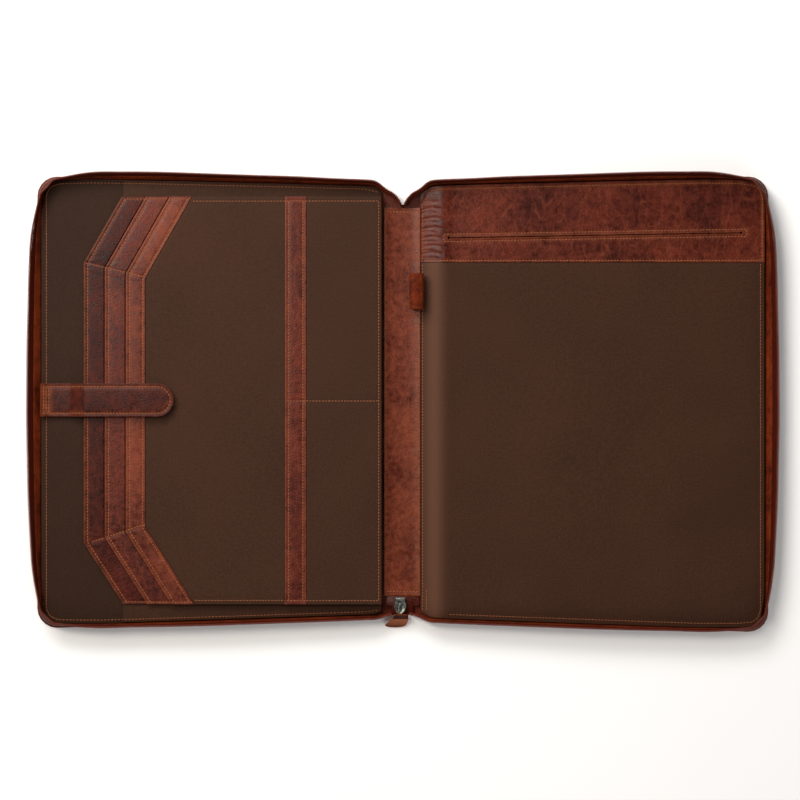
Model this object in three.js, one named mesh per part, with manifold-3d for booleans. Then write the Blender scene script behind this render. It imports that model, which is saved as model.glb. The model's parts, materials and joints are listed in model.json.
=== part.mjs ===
// Zip-around leather document case, lying open and flat with its inside up.
// Millimetres, +X to the pad half, +Y to the top edge, +Z up, resting on z = 0.
// Each half is a tray: an outer cover, a lined board and a zip edge that stands round it.
import * as THREE from "three";
import { mergeVertices } from "three/addons/utils/BufferGeometryUtils.js";
import Module from "manifold-3d";

const wasm = await Module();
wasm.setup();

// Covers and spine
const coverHalfWidth = 276.5; // middle of the spine to the outer edge of a cover
const coverTopReach = 171; // middle of the case to the top edge at an outer corner
const coverBottomReachLeft = 170.5;
const coverBottomReachRight = 173.5;
const coverCornerRadius = 15;
const coverThickness = 2;
const coverEdgeBevel = 0.6;
const shoulderDropTop = 5.5; // the cover's edge falls this far from its corner to the notch
const shoulderDropBottomLeft = 7.7;
const shoulderDropBottomRight = 8.5;
const notchHalfWidthTop = 25;
const notchHalfWidthBottom = 25;
const notchDepthTop = 17;
const spineDropBottom = 12; // bottom of the lower notch, up from the left corner

// Standing zip edge, measured up its slope
const gussetWidth = 8;
const tapeWidth = 4.6;
const coilWidth = 2.8;
const gussetThickness = 1.6;
const tapeThickness = 1;
const coilThickness = 2.2;
const coilEdgeShare = 0.6; // its thickness at its edges, as a share of that at its middle
const edgeInsetLeft = 2.4; // foot of the standing edge, in from the outer side of the cover
const edgeInsetRight = 1.9;
const edgeStartTop = 1.6; // where it starts beside the middle of the top notch
const edgeEndLeft = 8; // where it ends beside the slider
const edgeEndRight = 5;

// Linings and pockets of fabric
const liningGap = 0.45; // from the foot of the standing edge to the lining
const liningThickness = 2;
const liningSpineEdge = 17.5;
const fabricThickness = 1;
const documentPocketSetback = 65.5; // its open edge, in from the outer edge of the cover
const documentPocketInset = 0.3; // in from the edge of the lining
const pocketSetbackTop = 16; // the pocket stack, in from the edges of the cover
const pocketSetbackBottom = 18.5;
const pocketSpineEdge = 16.1; // right edge of the whole pocket stack

// Leather trims of the three stepped pockets
const trimThickness = 1.2;
const trimEase = 0.3; // rounding of its edges
const trimWidth = 14.6;
const trimPitch = 16; // step from one pocket to the next
const trimSetback = 35.9; // outermost trim at its upright stretch, in from the cover's edge
const trimEndRun = 28.6; // how far the slanted ends run towards the spine
const trimEndHeightTop = 49.7; // height of the slanted ends
const trimEndHeightBottom = 45.9;
const trimKneeRise = 4.1; // each further trim has its knees this much nearer the middle
const trimEndSpread = 2.2; // and its ends this much further in
const trimFootShift = 1.2; // the lower ends lie this much further in than the upper ones

// Side pocket
const sideStripLeft = 88.6;
const sideStripWidth = 16;

// Closing strap
const strapSetback = 4.1; // its sewn end, in from the outer edge of the cover
const strapLength = 100.3;
const strapWidth = 25;
const strapThickness = 2.8;
const strapMiddle = 1.9;
const strapEndLift = 2.2; // its sewn end leans on the standing edge
const snapRadius = 6.5;
const snapThickness = 1.8;
const snapFromTip = 15;

// Spine strip and pen loop
const spineStripLeft = 13.9;
const spineStripRight = 13.1;
const spineStripSetbackTop = 1.5; // its ends, in from the notches
const spineStripSetbackBottom = 12.5;
const spineStripThickness = 1.6;
const spineEdgeLift = 0.8; // how far its right edge lifts, as a share of its thickness
const penLoopWidth = 11.3;
const penLoopHeight = 10;
const penLoopWall = 1.4;
const penLoopPower = 0.75; // below 1, the oval is fuller towards its corners
const penLoopDrop = 49.8; // below the top end of the spine strip
const penLoopLength = 27;
const penLoopMiddle = 10.6;

// Pad pocket
const padSpineEdge = 13.6;
const padThickness = 1.2;
const padRoll = 17; // width over which the panel rolls down to the spine
const padDome = 1.2;
const headerThickness = 1.8;
const headerHeight = 65.1; // from the top edge of the cover
const slitStart = 34.9; // from the middle of the spine
const slitSetback = 21.1; // its outer end, in from the outer edge of the cover
const slitRiseStart = 18.3; // its ends, up from the lower edge of the header
const slitRiseEnd = 22.1;
const slitWidth = 0.9;
const slitHoleRadius = 1.1;

// Zip slider, bail, pull and end webs
const sliderMiddle = -2;
const sliderDrop = 1.2; // below the lower end of the spine strip
const sliderLength = 12.4;
const sliderNoseWidth = 10.2;
const sliderNeckWidth = 7;
const sliderThickness = 3.4;
const sliderEase = 0.5; // rounding of its edges
const bailWidth = 4.6;
const bailLength = 2.6;
const bailWire = 1.1;
const bailShift = 1.4; // the bail and the pull lie off the middle of the slider
const pullShift = 0.2;
const pullWidth = 11.3;
const pullRun = 10.2;
const pullThickness = 1.8;
const webThickness = 1.2;
const webHalfWidth = 12.3;
const webLength = 7.2;
const webLift = 1.2;
const stopHalfWidth = 1.2;
const stopLength = 2.2;

// Gap that pieces lying on each other keep
const seat = 0.3;

// Places that follow from the sizes above.
const shoulderTopReach = coverTopReach - shoulderDropTop;
const shoulderBottomLeft = coverBottomReachLeft - shoulderDropBottomLeft;
const shoulderBottomRight = coverBottomReachRight - shoulderDropBottomRight;
const spineTopReach = shoulderTopReach - notchDepthTop;
const spineBottomReach = coverBottomReachLeft - spineDropBottom;
const documentPocketLeft = coverHalfWidth - documentPocketSetback;
const pocketTop = coverTopReach - pocketSetbackTop;
const pocketBottom = coverBottomReachLeft - pocketSetbackBottom;
const trimKneeLeft = coverHalfWidth - trimSetback;
const trimKneeTop = pocketTop - trimEndHeightTop;
const trimKneeBottom = pocketBottom - trimEndHeightBottom;
const strapLeft = coverHalfWidth - strapSetback;
const spineStripTop = spineTopReach - spineStripSetbackTop;
const spineStripBottom = spineBottomReach - spineStripSetbackBottom;
const penLoopTop = spineStripTop - penLoopDrop;
const headerBottom = coverTopReach - headerHeight;
const slitEnds = [
  [slitStart, headerBottom + slitRiseStart],
  [coverHalfWidth - slitSetback, headerBottom + slitRiseEnd],
];
const sliderTop = -spineStripBottom - sliderDrop;

const liningBase = coverThickness + seat;
const pocketBase = liningBase + liningThickness + seat;
const stackBase = pocketBase + fabricThickness + seat;
const layerStep = trimThickness + seat;
const boardHeight = pocketBase + Math.max(headerThickness, padThickness + padDome) - liningBase;
const edgeWidth = gussetWidth + tapeWidth + coilWidth;

const sides = {
  left: {
    mirror: -1,
    bottomReach: coverBottomReachLeft,
    shoulderBottom: shoulderBottomLeft,
    edgeEnd: edgeEndLeft,
    edgeInset: edgeInsetLeft,
  },
  right: {
    mirror: 1,
    bottomReach: coverBottomReachRight,
    shoulderBottom: shoulderBottomRight,
    edgeEnd: edgeEndRight,
    edgeInset: edgeInsetRight,
  },
};

const materials = {
  leather: { color: "#6a3022", roughness: 0.55, metalness: 0 },
  darkLeather: { color: "#4e241b", roughness: 0.5, metalness: 0 },
  fabric: { color: "#473529", roughness: 0.9, metalness: 0 },
  tape: { color: "#3a1512", roughness: 0.9, metalness: 0 },
  coil: { color: "#5e2f28", roughness: 0.5, metalness: 0 },
  nickel: { color: "#6f7a70", roughness: 0.35, metalness: 1 },
};

const documentCase = new THREE.Group();

function addPiece(name, geometry, material) {
  const mesh = new THREE.Mesh(geometry, new THREE.MeshStandardMaterial(materials[material]));
  mesh.name = name;
  documentCase.add(mesh);
}

// A closed body through sections, each a ring of points in the same order, with flat ends.
function skin(rings) {
  const size = rings[0].length;
  const positions = rings.flat().flatMap((point) => point.toArray());
  const faces = [];
  for (let ring = 0; ring + 1 < rings.length; ring += 1) {
    for (let corner = 0; corner < size; corner += 1) {
      const next = (corner + 1) % size;
      const here = ring * size;
      faces.push(here + corner, here + next, here + size + next);
      faces.push(here + corner, here + size + next, here + size + corner);
    }
  }
  const last = (rings.length - 1) * size;
  for (let corner = 1; corner + 1 < size; corner += 1) {
    faces.push(0, corner + 1, corner);
    faces.push(last, last + corner, last + corner + 1);
  }
  const geometry = new THREE.BufferGeometry();
  geometry.setAttribute("position", new THREE.Float32BufferAttribute(positions, 3));
  geometry.setIndex(faces);
  return facingOut(geometry);
}

// Turns the faces round where the enclosed volume comes out negative.
function facingOut(geometry) {
  const index = geometry.index.array;
  const position = geometry.getAttribute("position");
  const corners = [new THREE.Vector3(), new THREE.Vector3(), new THREE.Vector3()];
  let volume = 0;
  for (let face = 0; face < index.length; face += 3) {
    corners.forEach((corner, turn) => corner.fromBufferAttribute(position, index[face + turn]));
    volume += corners[0].dot(corners[1].clone().cross(corners[2]));
  }
  if (volume < 0) {
    for (let face = 0; face < index.length; face += 3) {
      [index[face + 1], index[face + 2]] = [index[face + 2], index[face + 1]];
    }
  }
  return geometry;
}

function solidOf(geometry) {
  const bare = geometry.clone();
  bare.deleteAttribute("normal");
  bare.deleteAttribute("uv");
  const merged = mergeVertices(bare, 1e-4);
  const vertProperties = merged.getAttribute("position").array;
  const triVerts = new Uint32Array(merged.index.array);
  return new wasm.Manifold(new wasm.Mesh({ numProp: 3, vertProperties, triVerts }));
}

function geometryOf(solid) {
  const { vertProperties, triVerts } = solid.getMesh();
  const geometry = new THREE.BufferGeometry();
  geometry.setAttribute("position", new THREE.Float32BufferAttribute(vertProperties, 3));
  geometry.setIndex([...triVerts]);
  return geometry;
}

// A flat plate of an outline, from its underside upward, with its edges eased.
function plate(outline, base, thickness, ease = 0) {
  const shape = outline instanceof THREE.Shape ? outline : new THREE.Shape(outline);
  const geometry = new THREE.ExtrudeGeometry(shape, {
    depth: thickness - 2 * ease,
    bevelEnabled: ease > 0,
    bevelThickness: ease,
    bevelSize: ease,
    bevelOffset: -ease,
    bevelSegments: 1,
    curveSegments: 10,
  });
  geometry.translate(0, 0, base + ease);
  return geometry;
}

function rectangle(left, right, bottom, top) {
  return [
    new THREE.Vector2(left, bottom),
    new THREE.Vector2(right, bottom),
    new THREE.Vector2(right, top),
    new THREE.Vector2(left, top),
  ];
}

// The edge of one cover from the top notch, round the outer corners, to the bottom notch.
// The stretches have these names, and are drawn for the right half and mirrored for the left.
const stretches = ["topNotch", "topShoulder", "top", "topCorner", "side", "bottomCorner", "bottom",
  "bottomShoulder", "bottomNotch"];

function coverEdge(side) {
  const path = new THREE.Path();
  const { bottomReach, shoulderBottom } = side;
  const arcX = coverHalfWidth - coverCornerRadius;
  const topDepth = shoulderTopReach - spineTopReach;
  const bottomDepth = shoulderBottom - spineBottomReach;
  const wide = notchHalfWidthTop;
  const low = notchHalfWidthBottom;
  path.moveTo(0, spineTopReach);
  path.bezierCurveTo(
    0.1 * wide, spineTopReach + 0.34 * topDepth,
    0.25 * wide, spineTopReach + 0.52 * topDepth,
    0.48 * wide, spineTopReach + 0.66 * topDepth,
  );
  path.bezierCurveTo(
    0.64 * wide, spineTopReach + 0.78 * topDepth,
    0.74 * wide, spineTopReach + topDepth,
    wide, shoulderTopReach,
  );
  path.lineTo(arcX, coverTopReach);
  path.absarc(arcX, coverTopReach - coverCornerRadius, coverCornerRadius, Math.PI / 2, 0, true);
  path.lineTo(coverHalfWidth, coverCornerRadius - bottomReach);
  path.absarc(arcX, coverCornerRadius - bottomReach, coverCornerRadius, 0, -Math.PI / 2, true);
  path.lineTo(low, -shoulderBottom);
  path.bezierCurveTo(
    0.8 * low, -shoulderBottom,
    0.66 * low, -spineBottomReach - 0.6 * bottomDepth,
    0.48 * low, -spineBottomReach - 0.25 * bottomDepth,
  );
  path.bezierCurveTo(
    0.34 * low, -spineBottomReach,
    0.15 * low, -spineBottomReach,
    0, -spineBottomReach,
  );
  return path;
}

// Standing edge of the zip, one row for each bend that it makes on its way round a half.
// share: place along the stretch. inset: foot in from the cover's edge, as a share of the side's.
// bulge: upper edge out from the cover's edge, and width: slope width, as shares of edgeWidth.
const standingEdge = [
  { stretch: "topNotch", share: 0, inset: 0.5, bulge: -0.05, width: 0.5 },
  { stretch: "topShoulder", share: 0, inset: 0.55, bulge: 0.02, width: 0.7 },
  { stretch: "top", share: 0, inset: 0.4, bulge: 0.1, width: 0.95 },
  { stretch: "top", share: 0.3, inset: 0.3, bulge: 0.2, width: 1 },
  { stretch: "top", share: 0.7, inset: 0.3, bulge: 0.26, width: 1 },
  { stretch: "top", share: 0.93, inset: 0.4, bulge: 0.14, width: 1 },
  { stretch: "topCorner", share: 0.5, inset: 0.9, bulge: -0.48, width: 1 },
  { stretch: "side", share: 0.07, inset: 1, bulge: 0.15, width: 1 },
  { stretch: "side", share: 0.2, inset: 1, bulge: 0.31, width: 1 },
  { stretch: "side", share: 0.36, inset: 1, bulge: 0.41, width: 1 },
  { stretch: "side", share: 0.52, inset: 1, bulge: 0.44, width: 1 },
  { stretch: "side", share: 0.68, inset: 1, bulge: 0.38, width: 1 },
  { stretch: "side", share: 0.82, inset: 1, bulge: 0.24, width: 1 },
  { stretch: "side", share: 0.94, inset: 1, bulge: 0.06, width: 1 },
  { stretch: "bottomCorner", share: 0.5, inset: 0.9, bulge: -0.48, width: 1 },
  { stretch: "bottom", share: 0.07, inset: 0.6, bulge: -0.06, width: 1 },
  { stretch: "bottom", share: 0.5, inset: 0.55, bulge: 0.03, width: 1 },
  { stretch: "bottom", share: 0.97, inset: 0.55, bulge: 0.03, width: 0.85 },
  { stretch: "bottomShoulder", share: 1, inset: 0.55, bulge: -0.05, width: 0.6 },
  { stretch: "bottomNotch", share: 1, inset: 0.5, bulge: -0.1, width: 0.5 },
];

// Sections that each stretch is drawn with.
const stretchSections = {
  topNotch: 3,
  topShoulder: 4,
  top: 9,
  topCorner: 6,
  side: 11,
  bottomCorner: 6,
  bottom: 8,
  bottomShoulder: 4,
  bottomNotch: 3,
};

function bendAt(along, rows) {
  const after = rows.findIndex((row) => row.along > along);
  if (after <= 0) {
    return after === 0 ? rows[0] : rows[rows.length - 1];
  }
  const from = rows[after - 1];
  const to = rows[after];
  const mix = THREE.MathUtils.smoothstep(along, from.along, to.along);
  return {
    inset: THREE.MathUtils.lerp(from.inset, to.inset, mix),
    bulge: THREE.MathUtils.lerp(from.bulge, to.bulge, mix),
    width: THREE.MathUtils.lerp(from.width, to.width, mix),
  };
}

// Stations of the standing edge: its foot, and the direction and length of its slope.
function edgeStations(side) {
  const path = coverEdge(side);
  const ends = path.getCurveLengths();
  const total = ends[ends.length - 1];
  const alongOf = (stretch, share) => {
    const place = stretches.indexOf(stretch);
    const start = place === 0 ? 0 : ends[place - 1];
    return (start + share * (ends[place] - start)) / total;
  };
  const rows = standingEdge.map((row) => ({ ...row, along: alongOf(row.stretch, row.share) }));
  const places = stretches.flatMap((stretch) => {
    const count = stretchSections[stretch];
    return Array.from({ length: count }, (_, step) => alongOf(stretch, step / count));
  });
  places.push(1);
  const first = edgeStartTop / total;
  const last = 1 - side.edgeEnd / total;
  return places.map((place) => {
    const along = THREE.MathUtils.clamp(place, first, last);
    const bend = bendAt(along, rows);
    const edge = path.getPoint(along);
    const heading = path.getTangent(along);
    const outward = new THREE.Vector3(-heading.y * side.mirror, heading.x, 0).normalize();
    const inset = bend.inset * side.edgeInset;
    const lean = inset + bend.bulge * edgeWidth;
    const width = bend.width * edgeWidth;
    const slope = outward.clone().multiplyScalar(lean / width);
    slope.z = Math.sqrt(1 - (lean / width) ** 2);
    const across = new THREE.Vector3().crossVectors(slope, new THREE.Vector3(
      heading.x * side.mirror, heading.y, 0)).normalize();
    const foot = new THREE.Vector3(edge.x * side.mirror, edge.y, 0).addScaledVector(outward, -inset);
    foot.z = coverThickness + seat + (gussetThickness / 2) * Math.abs(lean / width);
    return { foot, outward, slope, across, width };
  });
}

// A band that runs round a half between two heights up the slope, given as shares of its width.
function slopeBand(side, low, high, thickness, crown = 0) {
  const rings = edgeStations(side).map(({ foot, slope, across, width }) => {
    const at = (share, out) => foot.clone()
      .addScaledVector(slope, share * width)
      .addScaledVector(across, out * thickness);
    const ring = [at(low, -0.5), at(low, 0.5), at(high, 0.5), at(high, -0.5)];
    if (crown > 0) {
      const middle = (low + high) / 2;
      ring.splice(2, 0, at(middle, 0.5 + crown));
      ring.push(at(middle, -0.5 - crown));
    }
    return ring;
  });
  return skin(rings);
}

function addZipEdge(name, side) {
  const gap = seat / edgeWidth;
  const gussetTop = gussetWidth / edgeWidth;
  const tapeTop = (gussetWidth + tapeWidth) / edgeWidth;
  addPiece(`gusset_${name}`, slopeBand(side, 0, gussetTop - gap, gussetThickness), "leather");
  addPiece(`zip_tape_${name}`, slopeBand(side, gussetTop, tapeTop - gap, tapeThickness), "tape");
  const crown = (1 / coilEdgeShare - 1) / 2;
  const coil = slopeBand(side, tapeTop, 1, coilEdgeShare * coilThickness, crown);
  addPiece(`zip_coil_${name}`, coil, "coil");
}

// Sections of the cover's outline: one along a straight stretch, a few round any other.
const straightStretches = ["side", "top", "bottom"];
const curveSections = 5;

// Outline of the whole cover: right edge down, left edge back up.
function coverOutline() {
  const trace = (side) => {
    const path = coverEdge(side);
    const ends = path.getCurveLengths();
    const total = ends[ends.length - 1];
    return stretches.flatMap((stretch, place) => {
      const start = place === 0 ? 0 : ends[place - 1];
      const count = straightStretches.includes(stretch) ? 1 : curveSections;
      return Array.from({ length: count }, (_, step) => {
        const along = (start + (step / count) * (ends[place] - start)) / total;
        const point = path.getPoint(along);
        return new THREE.Vector2(point.x * side.mirror, point.y);
      });
    });
  };
  const right = trace(sides.right);
  const left = trace(sides.left).slice(1);
  return [...right, new THREE.Vector2(0, -spineBottomReach), ...left.reverse()];
}

// Line that the linings reach: just inside the foot of the standing edge, from top to bottom,
// and further in where the edge leans over them. It is given for the right half, and the left
// half's is mirrored.
function innerLine(side) {
  return edgeStations(side).map(({ foot, outward, slope }) => {
    const overhang = Math.min(0, slope.dot(outward) / slope.z) * boardHeight;
    const point = foot.clone().addScaledVector(outward, overhang - gussetThickness / 2 - liningGap);
    return new THREE.Vector2(point.x * side.mirror, point.y);
  });
}

// Where the inner line stands at a distance from the spine, on its top or bottom run.
function innerReach(side, x, end) {
  const run = innerLine(side).filter((point) => point.y * end > 0);
  if (end < 0) {
    run.reverse();
  }
  const after = run.findIndex((point) => point.x > x);
  if (after === 0) {
    return run[0].y;
  }
  if (after < 0) {
    return run.reduce((best, point) => (point.x > best.x ? point : best)).y;
  }
  const [from, to] = [run[after - 1], run[after]];
  return THREE.MathUtils.mapLinear(x, from.x, to.x, from.y, to.y);
}

// Outline of a lined board: the inner line, closed by a straight edge beside the spine.
function boardOutline(side, spineEdge) {
  const beyond = innerLine(side).filter((point) => point.x > spineEdge);
  const outline = [
    new THREE.Vector2(spineEdge, innerReach(side, spineEdge, 1)),
    ...beyond,
    new THREE.Vector2(spineEdge, innerReach(side, spineEdge, -1)),
  ];
  return outline.map((point) => new THREE.Vector2(point.x * side.mirror, point.y));
}

function addLinings() {
  const left = boardOutline(sides.left, liningSpineEdge);
  const right = boardOutline(sides.right, padSpineEdge + padRoll + seat);
  addPiece("lining_left", plate(left, liningBase, liningThickness), "fabric");
  addPiece("lining_right", plate(right, liningBase, liningThickness), "fabric");
}

// Left edge of a stepped pocket: upright between two knees, slanted inward above and below.
// inward moves it towards the spine, square to each of its three stretches.
function steppedEdge(pocket, inward) {
  const knee = -trimKneeLeft + pocket * trimPitch;
  const halfEdge = (reach, kneeReach, shift) => {
    const kneeY = kneeReach - pocket * trimKneeRise;
    const run = trimEndRun + pocket * trimEndSpread + shift;
    const slant = Math.atan2(run, reach - kneeY);
    return [
      [knee + run + inward / Math.cos(slant), reach],
      [knee + inward, kneeY - inward * Math.tan(slant / 2)],
    ];
  };
  const upper = halfEdge(pocketTop, trimKneeTop, 0);
  const lower = halfEdge(pocketBottom, trimKneeBottom, trimFootShift).reverse();
  return [
    ...upper.map(([x, y]) => new THREE.Vector2(x, y)),
    ...lower.map(([x, y]) => new THREE.Vector2(x, -y)),
  ];
}

function addSteppedPockets() {
  [0, 1, 2].forEach((pocket) => {
    const base = stackBase + pocket * layerStep;
    const outer = steppedEdge(pocket, 0);
    const inner = steppedEdge(pocket, trimWidth);
    const fabricEdge = steppedEdge(pocket, trimWidth + seat);
    const trim = [...outer, ...inner.reverse()];
    addPiece(`pocket_trim_${pocket + 1}`, plate(trim, base, trimThickness, trimEase), "leather");
    const panel = [
      ...fabricEdge,
      new THREE.Vector2(-pocketSpineEdge, -pocketBottom),
      new THREE.Vector2(-pocketSpineEdge, pocketTop),
    ];
    addPiece(`pocket_panel_${pocket + 1}`, plate(panel, base, fabricThickness), "fabric");
  });
}

function addFlatPockets() {
  const places = [0, 0.25, 0.5, 0.75, 0.88, 0.94, 0.97, 1].map((share) => (
    THREE.MathUtils.lerp(documentPocketLeft, pocketSpineEdge, share)));
  const edge = (end) => places.map((x) => (
    new THREE.Vector2(-x, innerReach(sides.left, x, end) - end * documentPocketInset)));
  const wide = [...edge(1), ...edge(-1).reverse()];
  addPiece("document_pocket", plate(wide, pocketBase, fabricThickness), "fabric");
  const base = stackBase + 3 * layerStep - (trimThickness - fabricThickness);
  const stripRight = -sideStripLeft + sideStripWidth;
  const strip = rectangle(-sideStripLeft, stripRight, -pocketBottom, pocketTop);
  const pocket = rectangle(stripRight + seat, -pocketSpineEdge, -pocketBottom, pocketTop);
  addPiece("side_strip", plate(strip, base, trimThickness, trimEase), "leather");
  addPiece("side_pocket", plate(pocket, base, fabricThickness), "fabric");
}

// Underside of the strap: sewn to the lining, up over each trim, then level over the snap.
const strapRise = [
  { reach: 0, over: "standingEdge" },
  { reach: 0.07, over: "lining" },
  { reach: 0.2, over: "lining" },
  { reach: 0.34, over: "trims" },
  { reach: 0.62, over: "trims" },
  { reach: 0.78, over: "snap" },
  { reach: 1, over: "snap" },
];

function strapUnderside(share) {
  const trims = stackBase + 3 * layerStep;
  const heights = {
    standingEdge: pocketBase + strapEndLift,
    lining: pocketBase,
    trims,
    snap: trims + snapThickness + 2 * seat,
  };
  const after = Math.max(1, strapRise.findIndex((row) => row.reach >= share));
  const from = strapRise[after - 1];
  const to = strapRise[after];
  const mix = THREE.MathUtils.smoothstep(share, from.reach, to.reach);
  return THREE.MathUtils.lerp(heights[from.over], heights[to.over], mix);
}

function addStrap() {
  const roundShare = strapWidth / 2 / strapLength;
  const straight = Array.from({ length: 17 }, (_, step) => (step / 16) * (1 - roundShare));
  const round = [0.35, 0.62, 0.82, 0.94, 0.995].map((part) => 1 - roundShare + part * roundShare);
  const rings = [...straight, ...round].map((share) => {
    const x = -strapLeft + share * strapLength;
    const past = Math.max(0, (share - (1 - roundShare)) / roundShare);
    const half = (strapWidth / 2) * Math.sqrt(1 - past ** 2);
    const low = strapUnderside(share);
    const edge = Math.min(0.9, half / 2);
    const y = (offset) => strapMiddle + offset;
    return [
      new THREE.Vector3(x, y(-half), low),
      new THREE.Vector3(x, y(-half), low + 0.6 * strapThickness),
      new THREE.Vector3(x, y(-half + edge), low + strapThickness),
      new THREE.Vector3(x, y(half - edge), low + strapThickness),
      new THREE.Vector3(x, y(half), low + 0.6 * strapThickness),
      new THREE.Vector3(x, y(half), low),
    ];
  });
  addPiece("strap_tab", skin(rings), "leather");
  const snap = new THREE.CylinderGeometry(snapRadius, snapRadius, snapThickness, 20);
  snap.rotateX(Math.PI / 2);
  const panelTop = stackBase + 2 * layerStep + fabricThickness;
  const strapFoot = strapUnderside(1) - seat;
  snap.scale(1, 1, (strapFoot - panelTop - seat) / snapThickness);
  snap.translate(-strapLeft + strapLength - snapFromTip, strapMiddle, (strapFoot + panelTop + seat) / 2);
  addPiece("strap_snap", snap, "nickel");
}

// Leather strip down the spine, hollowed a little, its right edge lifted to meet the pad panel.
function addSpineStrip() {
  const profile = [
    { share: 0, lift: 0.35 },
    { share: 0.2, lift: 0 },
    { share: 0.78, lift: 0 },
    { share: 0.9, lift: 0.3 },
    { share: 1, lift: spineEdgeLift },
  ];
  const width = spineStripLeft + spineStripRight;
  const section = (y) => {
    const point = (row, height) => new THREE.Vector3(
      -spineStripLeft + row.share * width, y, liningBase + row.lift * spineStripThickness + height);
    const under = profile.map((row) => point(row, 0));
    const over = profile.map((row) => point(row, spineStripThickness));
    return [...under, ...over.reverse()];
  };
  addPiece("spine_strip", skin([section(-spineStripBottom), section(spineStripTop)]), "leather");
}

// Pen loop: an oval ring of leather, its bore along Y, its flattened foot on the spine strip.
function addPenLoop() {
  const oval = (halfWidth, halfHeight) => Array.from({ length: 24 }, (_, step) => {
    const turn = (step / 24) * 2 * Math.PI;
    const square = (value) => Math.sign(value) * Math.abs(value) ** penLoopPower;
    return new THREE.Vector2(halfWidth * square(Math.cos(turn)), halfHeight * square(Math.sin(turn)));
  });
  const shape = new THREE.Shape(oval(penLoopWidth / 2, penLoopHeight / 2));
  const bore = oval(penLoopWidth / 2 - penLoopWall, penLoopHeight / 2 - penLoopWall);
  shape.holes.push(new THREE.Path(bore));
  const loop = new THREE.ExtrudeGeometry(shape, { depth: penLoopLength, bevelEnabled: false });
  loop.rotateX(Math.PI / 2);
  const foot = liningBase + spineStripThickness * (1 + spineEdgeLift) + seat;
  loop.translate(penLoopMiddle, penLoopTop, foot + penLoopHeight / 2);
  addPiece("pen_loop", loop, "leather");
}

// Height of the underside of the pad panel: rolled down to the spine, level over the board.
function padUnderside(x) {
  const rolled = THREE.MathUtils.smoothstep(x, padSpineEdge, padSpineEdge + padRoll);
  return THREE.MathUtils.lerp(liningBase, pocketBase, rolled);
}

// A panel over the right board between two heights of Y, with its outer corner rounded.
function padSheet(bottom, top, thickness, dome) {
  const line = innerLine(sides.right);
  const right = Math.max(...line.map((point) => point.x));
  const bend = right - coverCornerRadius;
  const rolls = [0, 0.25, 0.5, 0.75, 1].map((share) => padSpineEdge + share * padRoll);
  const level = [0.15, 0.35, 0.5, 0.65, 0.85, 1].map((share) => (
    THREE.MathUtils.lerp(padSpineEdge + padRoll, bend, share)));
  const corner = [0.3, 0.5, 0.7, 0.85, 0.95, 1].map((share) => (
    THREE.MathUtils.lerp(bend, right - liningGap, share)));
  const rise = [0, 0.12, 0.35, 0.5, 0.65, 0.88, 1];
  const rings = [...rolls, ...level, ...corner].map((x) => {
    const across = (x - padSpineEdge) / (right - padSpineEdge);
    const under = rise.map((share) => (
      new THREE.Vector3(x, THREE.MathUtils.lerp(bottom(x), top(x), share), padUnderside(x))));
    const over = rise.map((share) => {
      const crown = dome * Math.sin(Math.PI * share) * Math.sin(Math.PI * across);
      const height = padUnderside(x) + thickness + crown;
      return new THREE.Vector3(x, THREE.MathUtils.lerp(bottom(x), top(x), share), height);
    });
    return [...under, ...over.reverse()];
  });
  return skin(rings);
}

function addPadPocket() {
  const panelTop = headerBottom - seat;
  const lowEdge = (x) => innerReach(sides.right, x, -1);
  const highEdge = (x) => innerReach(sides.right, x, 1);
  addPiece("pad_panel", padSheet(lowEdge, () => panelTop, padThickness, padDome), "fabric");
  const band = solidOf(padSheet(() => headerBottom, highEdge, headerThickness, 0));
  const [[startX, startY], [endX, endY]] = slitEnds;
  const cutDepth = 4 * headerThickness;
  const slit = new THREE.BoxGeometry(Math.hypot(endX - startX, endY - startY), slitWidth, cutDepth);
  slit.rotateZ(Math.atan2(endY - startY, endX - startX));
  slit.translate((startX + endX) / 2, (startY + endY) / 2, pocketBase);
  const holes = slitEnds.map(([x, y]) => {
    const hole = new THREE.CylinderGeometry(slitHoleRadius, slitHoleRadius, cutDepth, 12);
    hole.rotateX(Math.PI / 2);
    hole.translate(x, y, pocketBase);
    return hole;
  });
  const cut = [slit, ...holes].reduce((solid, tool) => solid.subtract(solidOf(tool)), band);
  addPiece("pad_header", geometryOf(cut), "leather");
}

// Webs that close the zip: short sloping leather at the lower end, a small stop at the top.
function slopingWeb(halfWidth, near, far, lift) {
  const section = (y, height) => [
    new THREE.Vector3(-halfWidth, y, height),
    new THREE.Vector3(halfWidth, y, height),
    new THREE.Vector3(halfWidth, y, height + webThickness),
    new THREE.Vector3(-halfWidth, y, height + webThickness),
  ];
  return skin([section(near, liningBase), section(far, liningBase + lift)]);
}

function addZipEnds() {
  const low = -spineStripBottom - seat;
  const high = spineStripTop + seat;
  addPiece("zip_end_bottom", slopingWeb(webHalfWidth, low, low - webLength, webLift), "darkLeather");
  addPiece("zip_end_top", slopingWeb(stopHalfWidth, high, high + stopLength, webLift), "tape");
}

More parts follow.
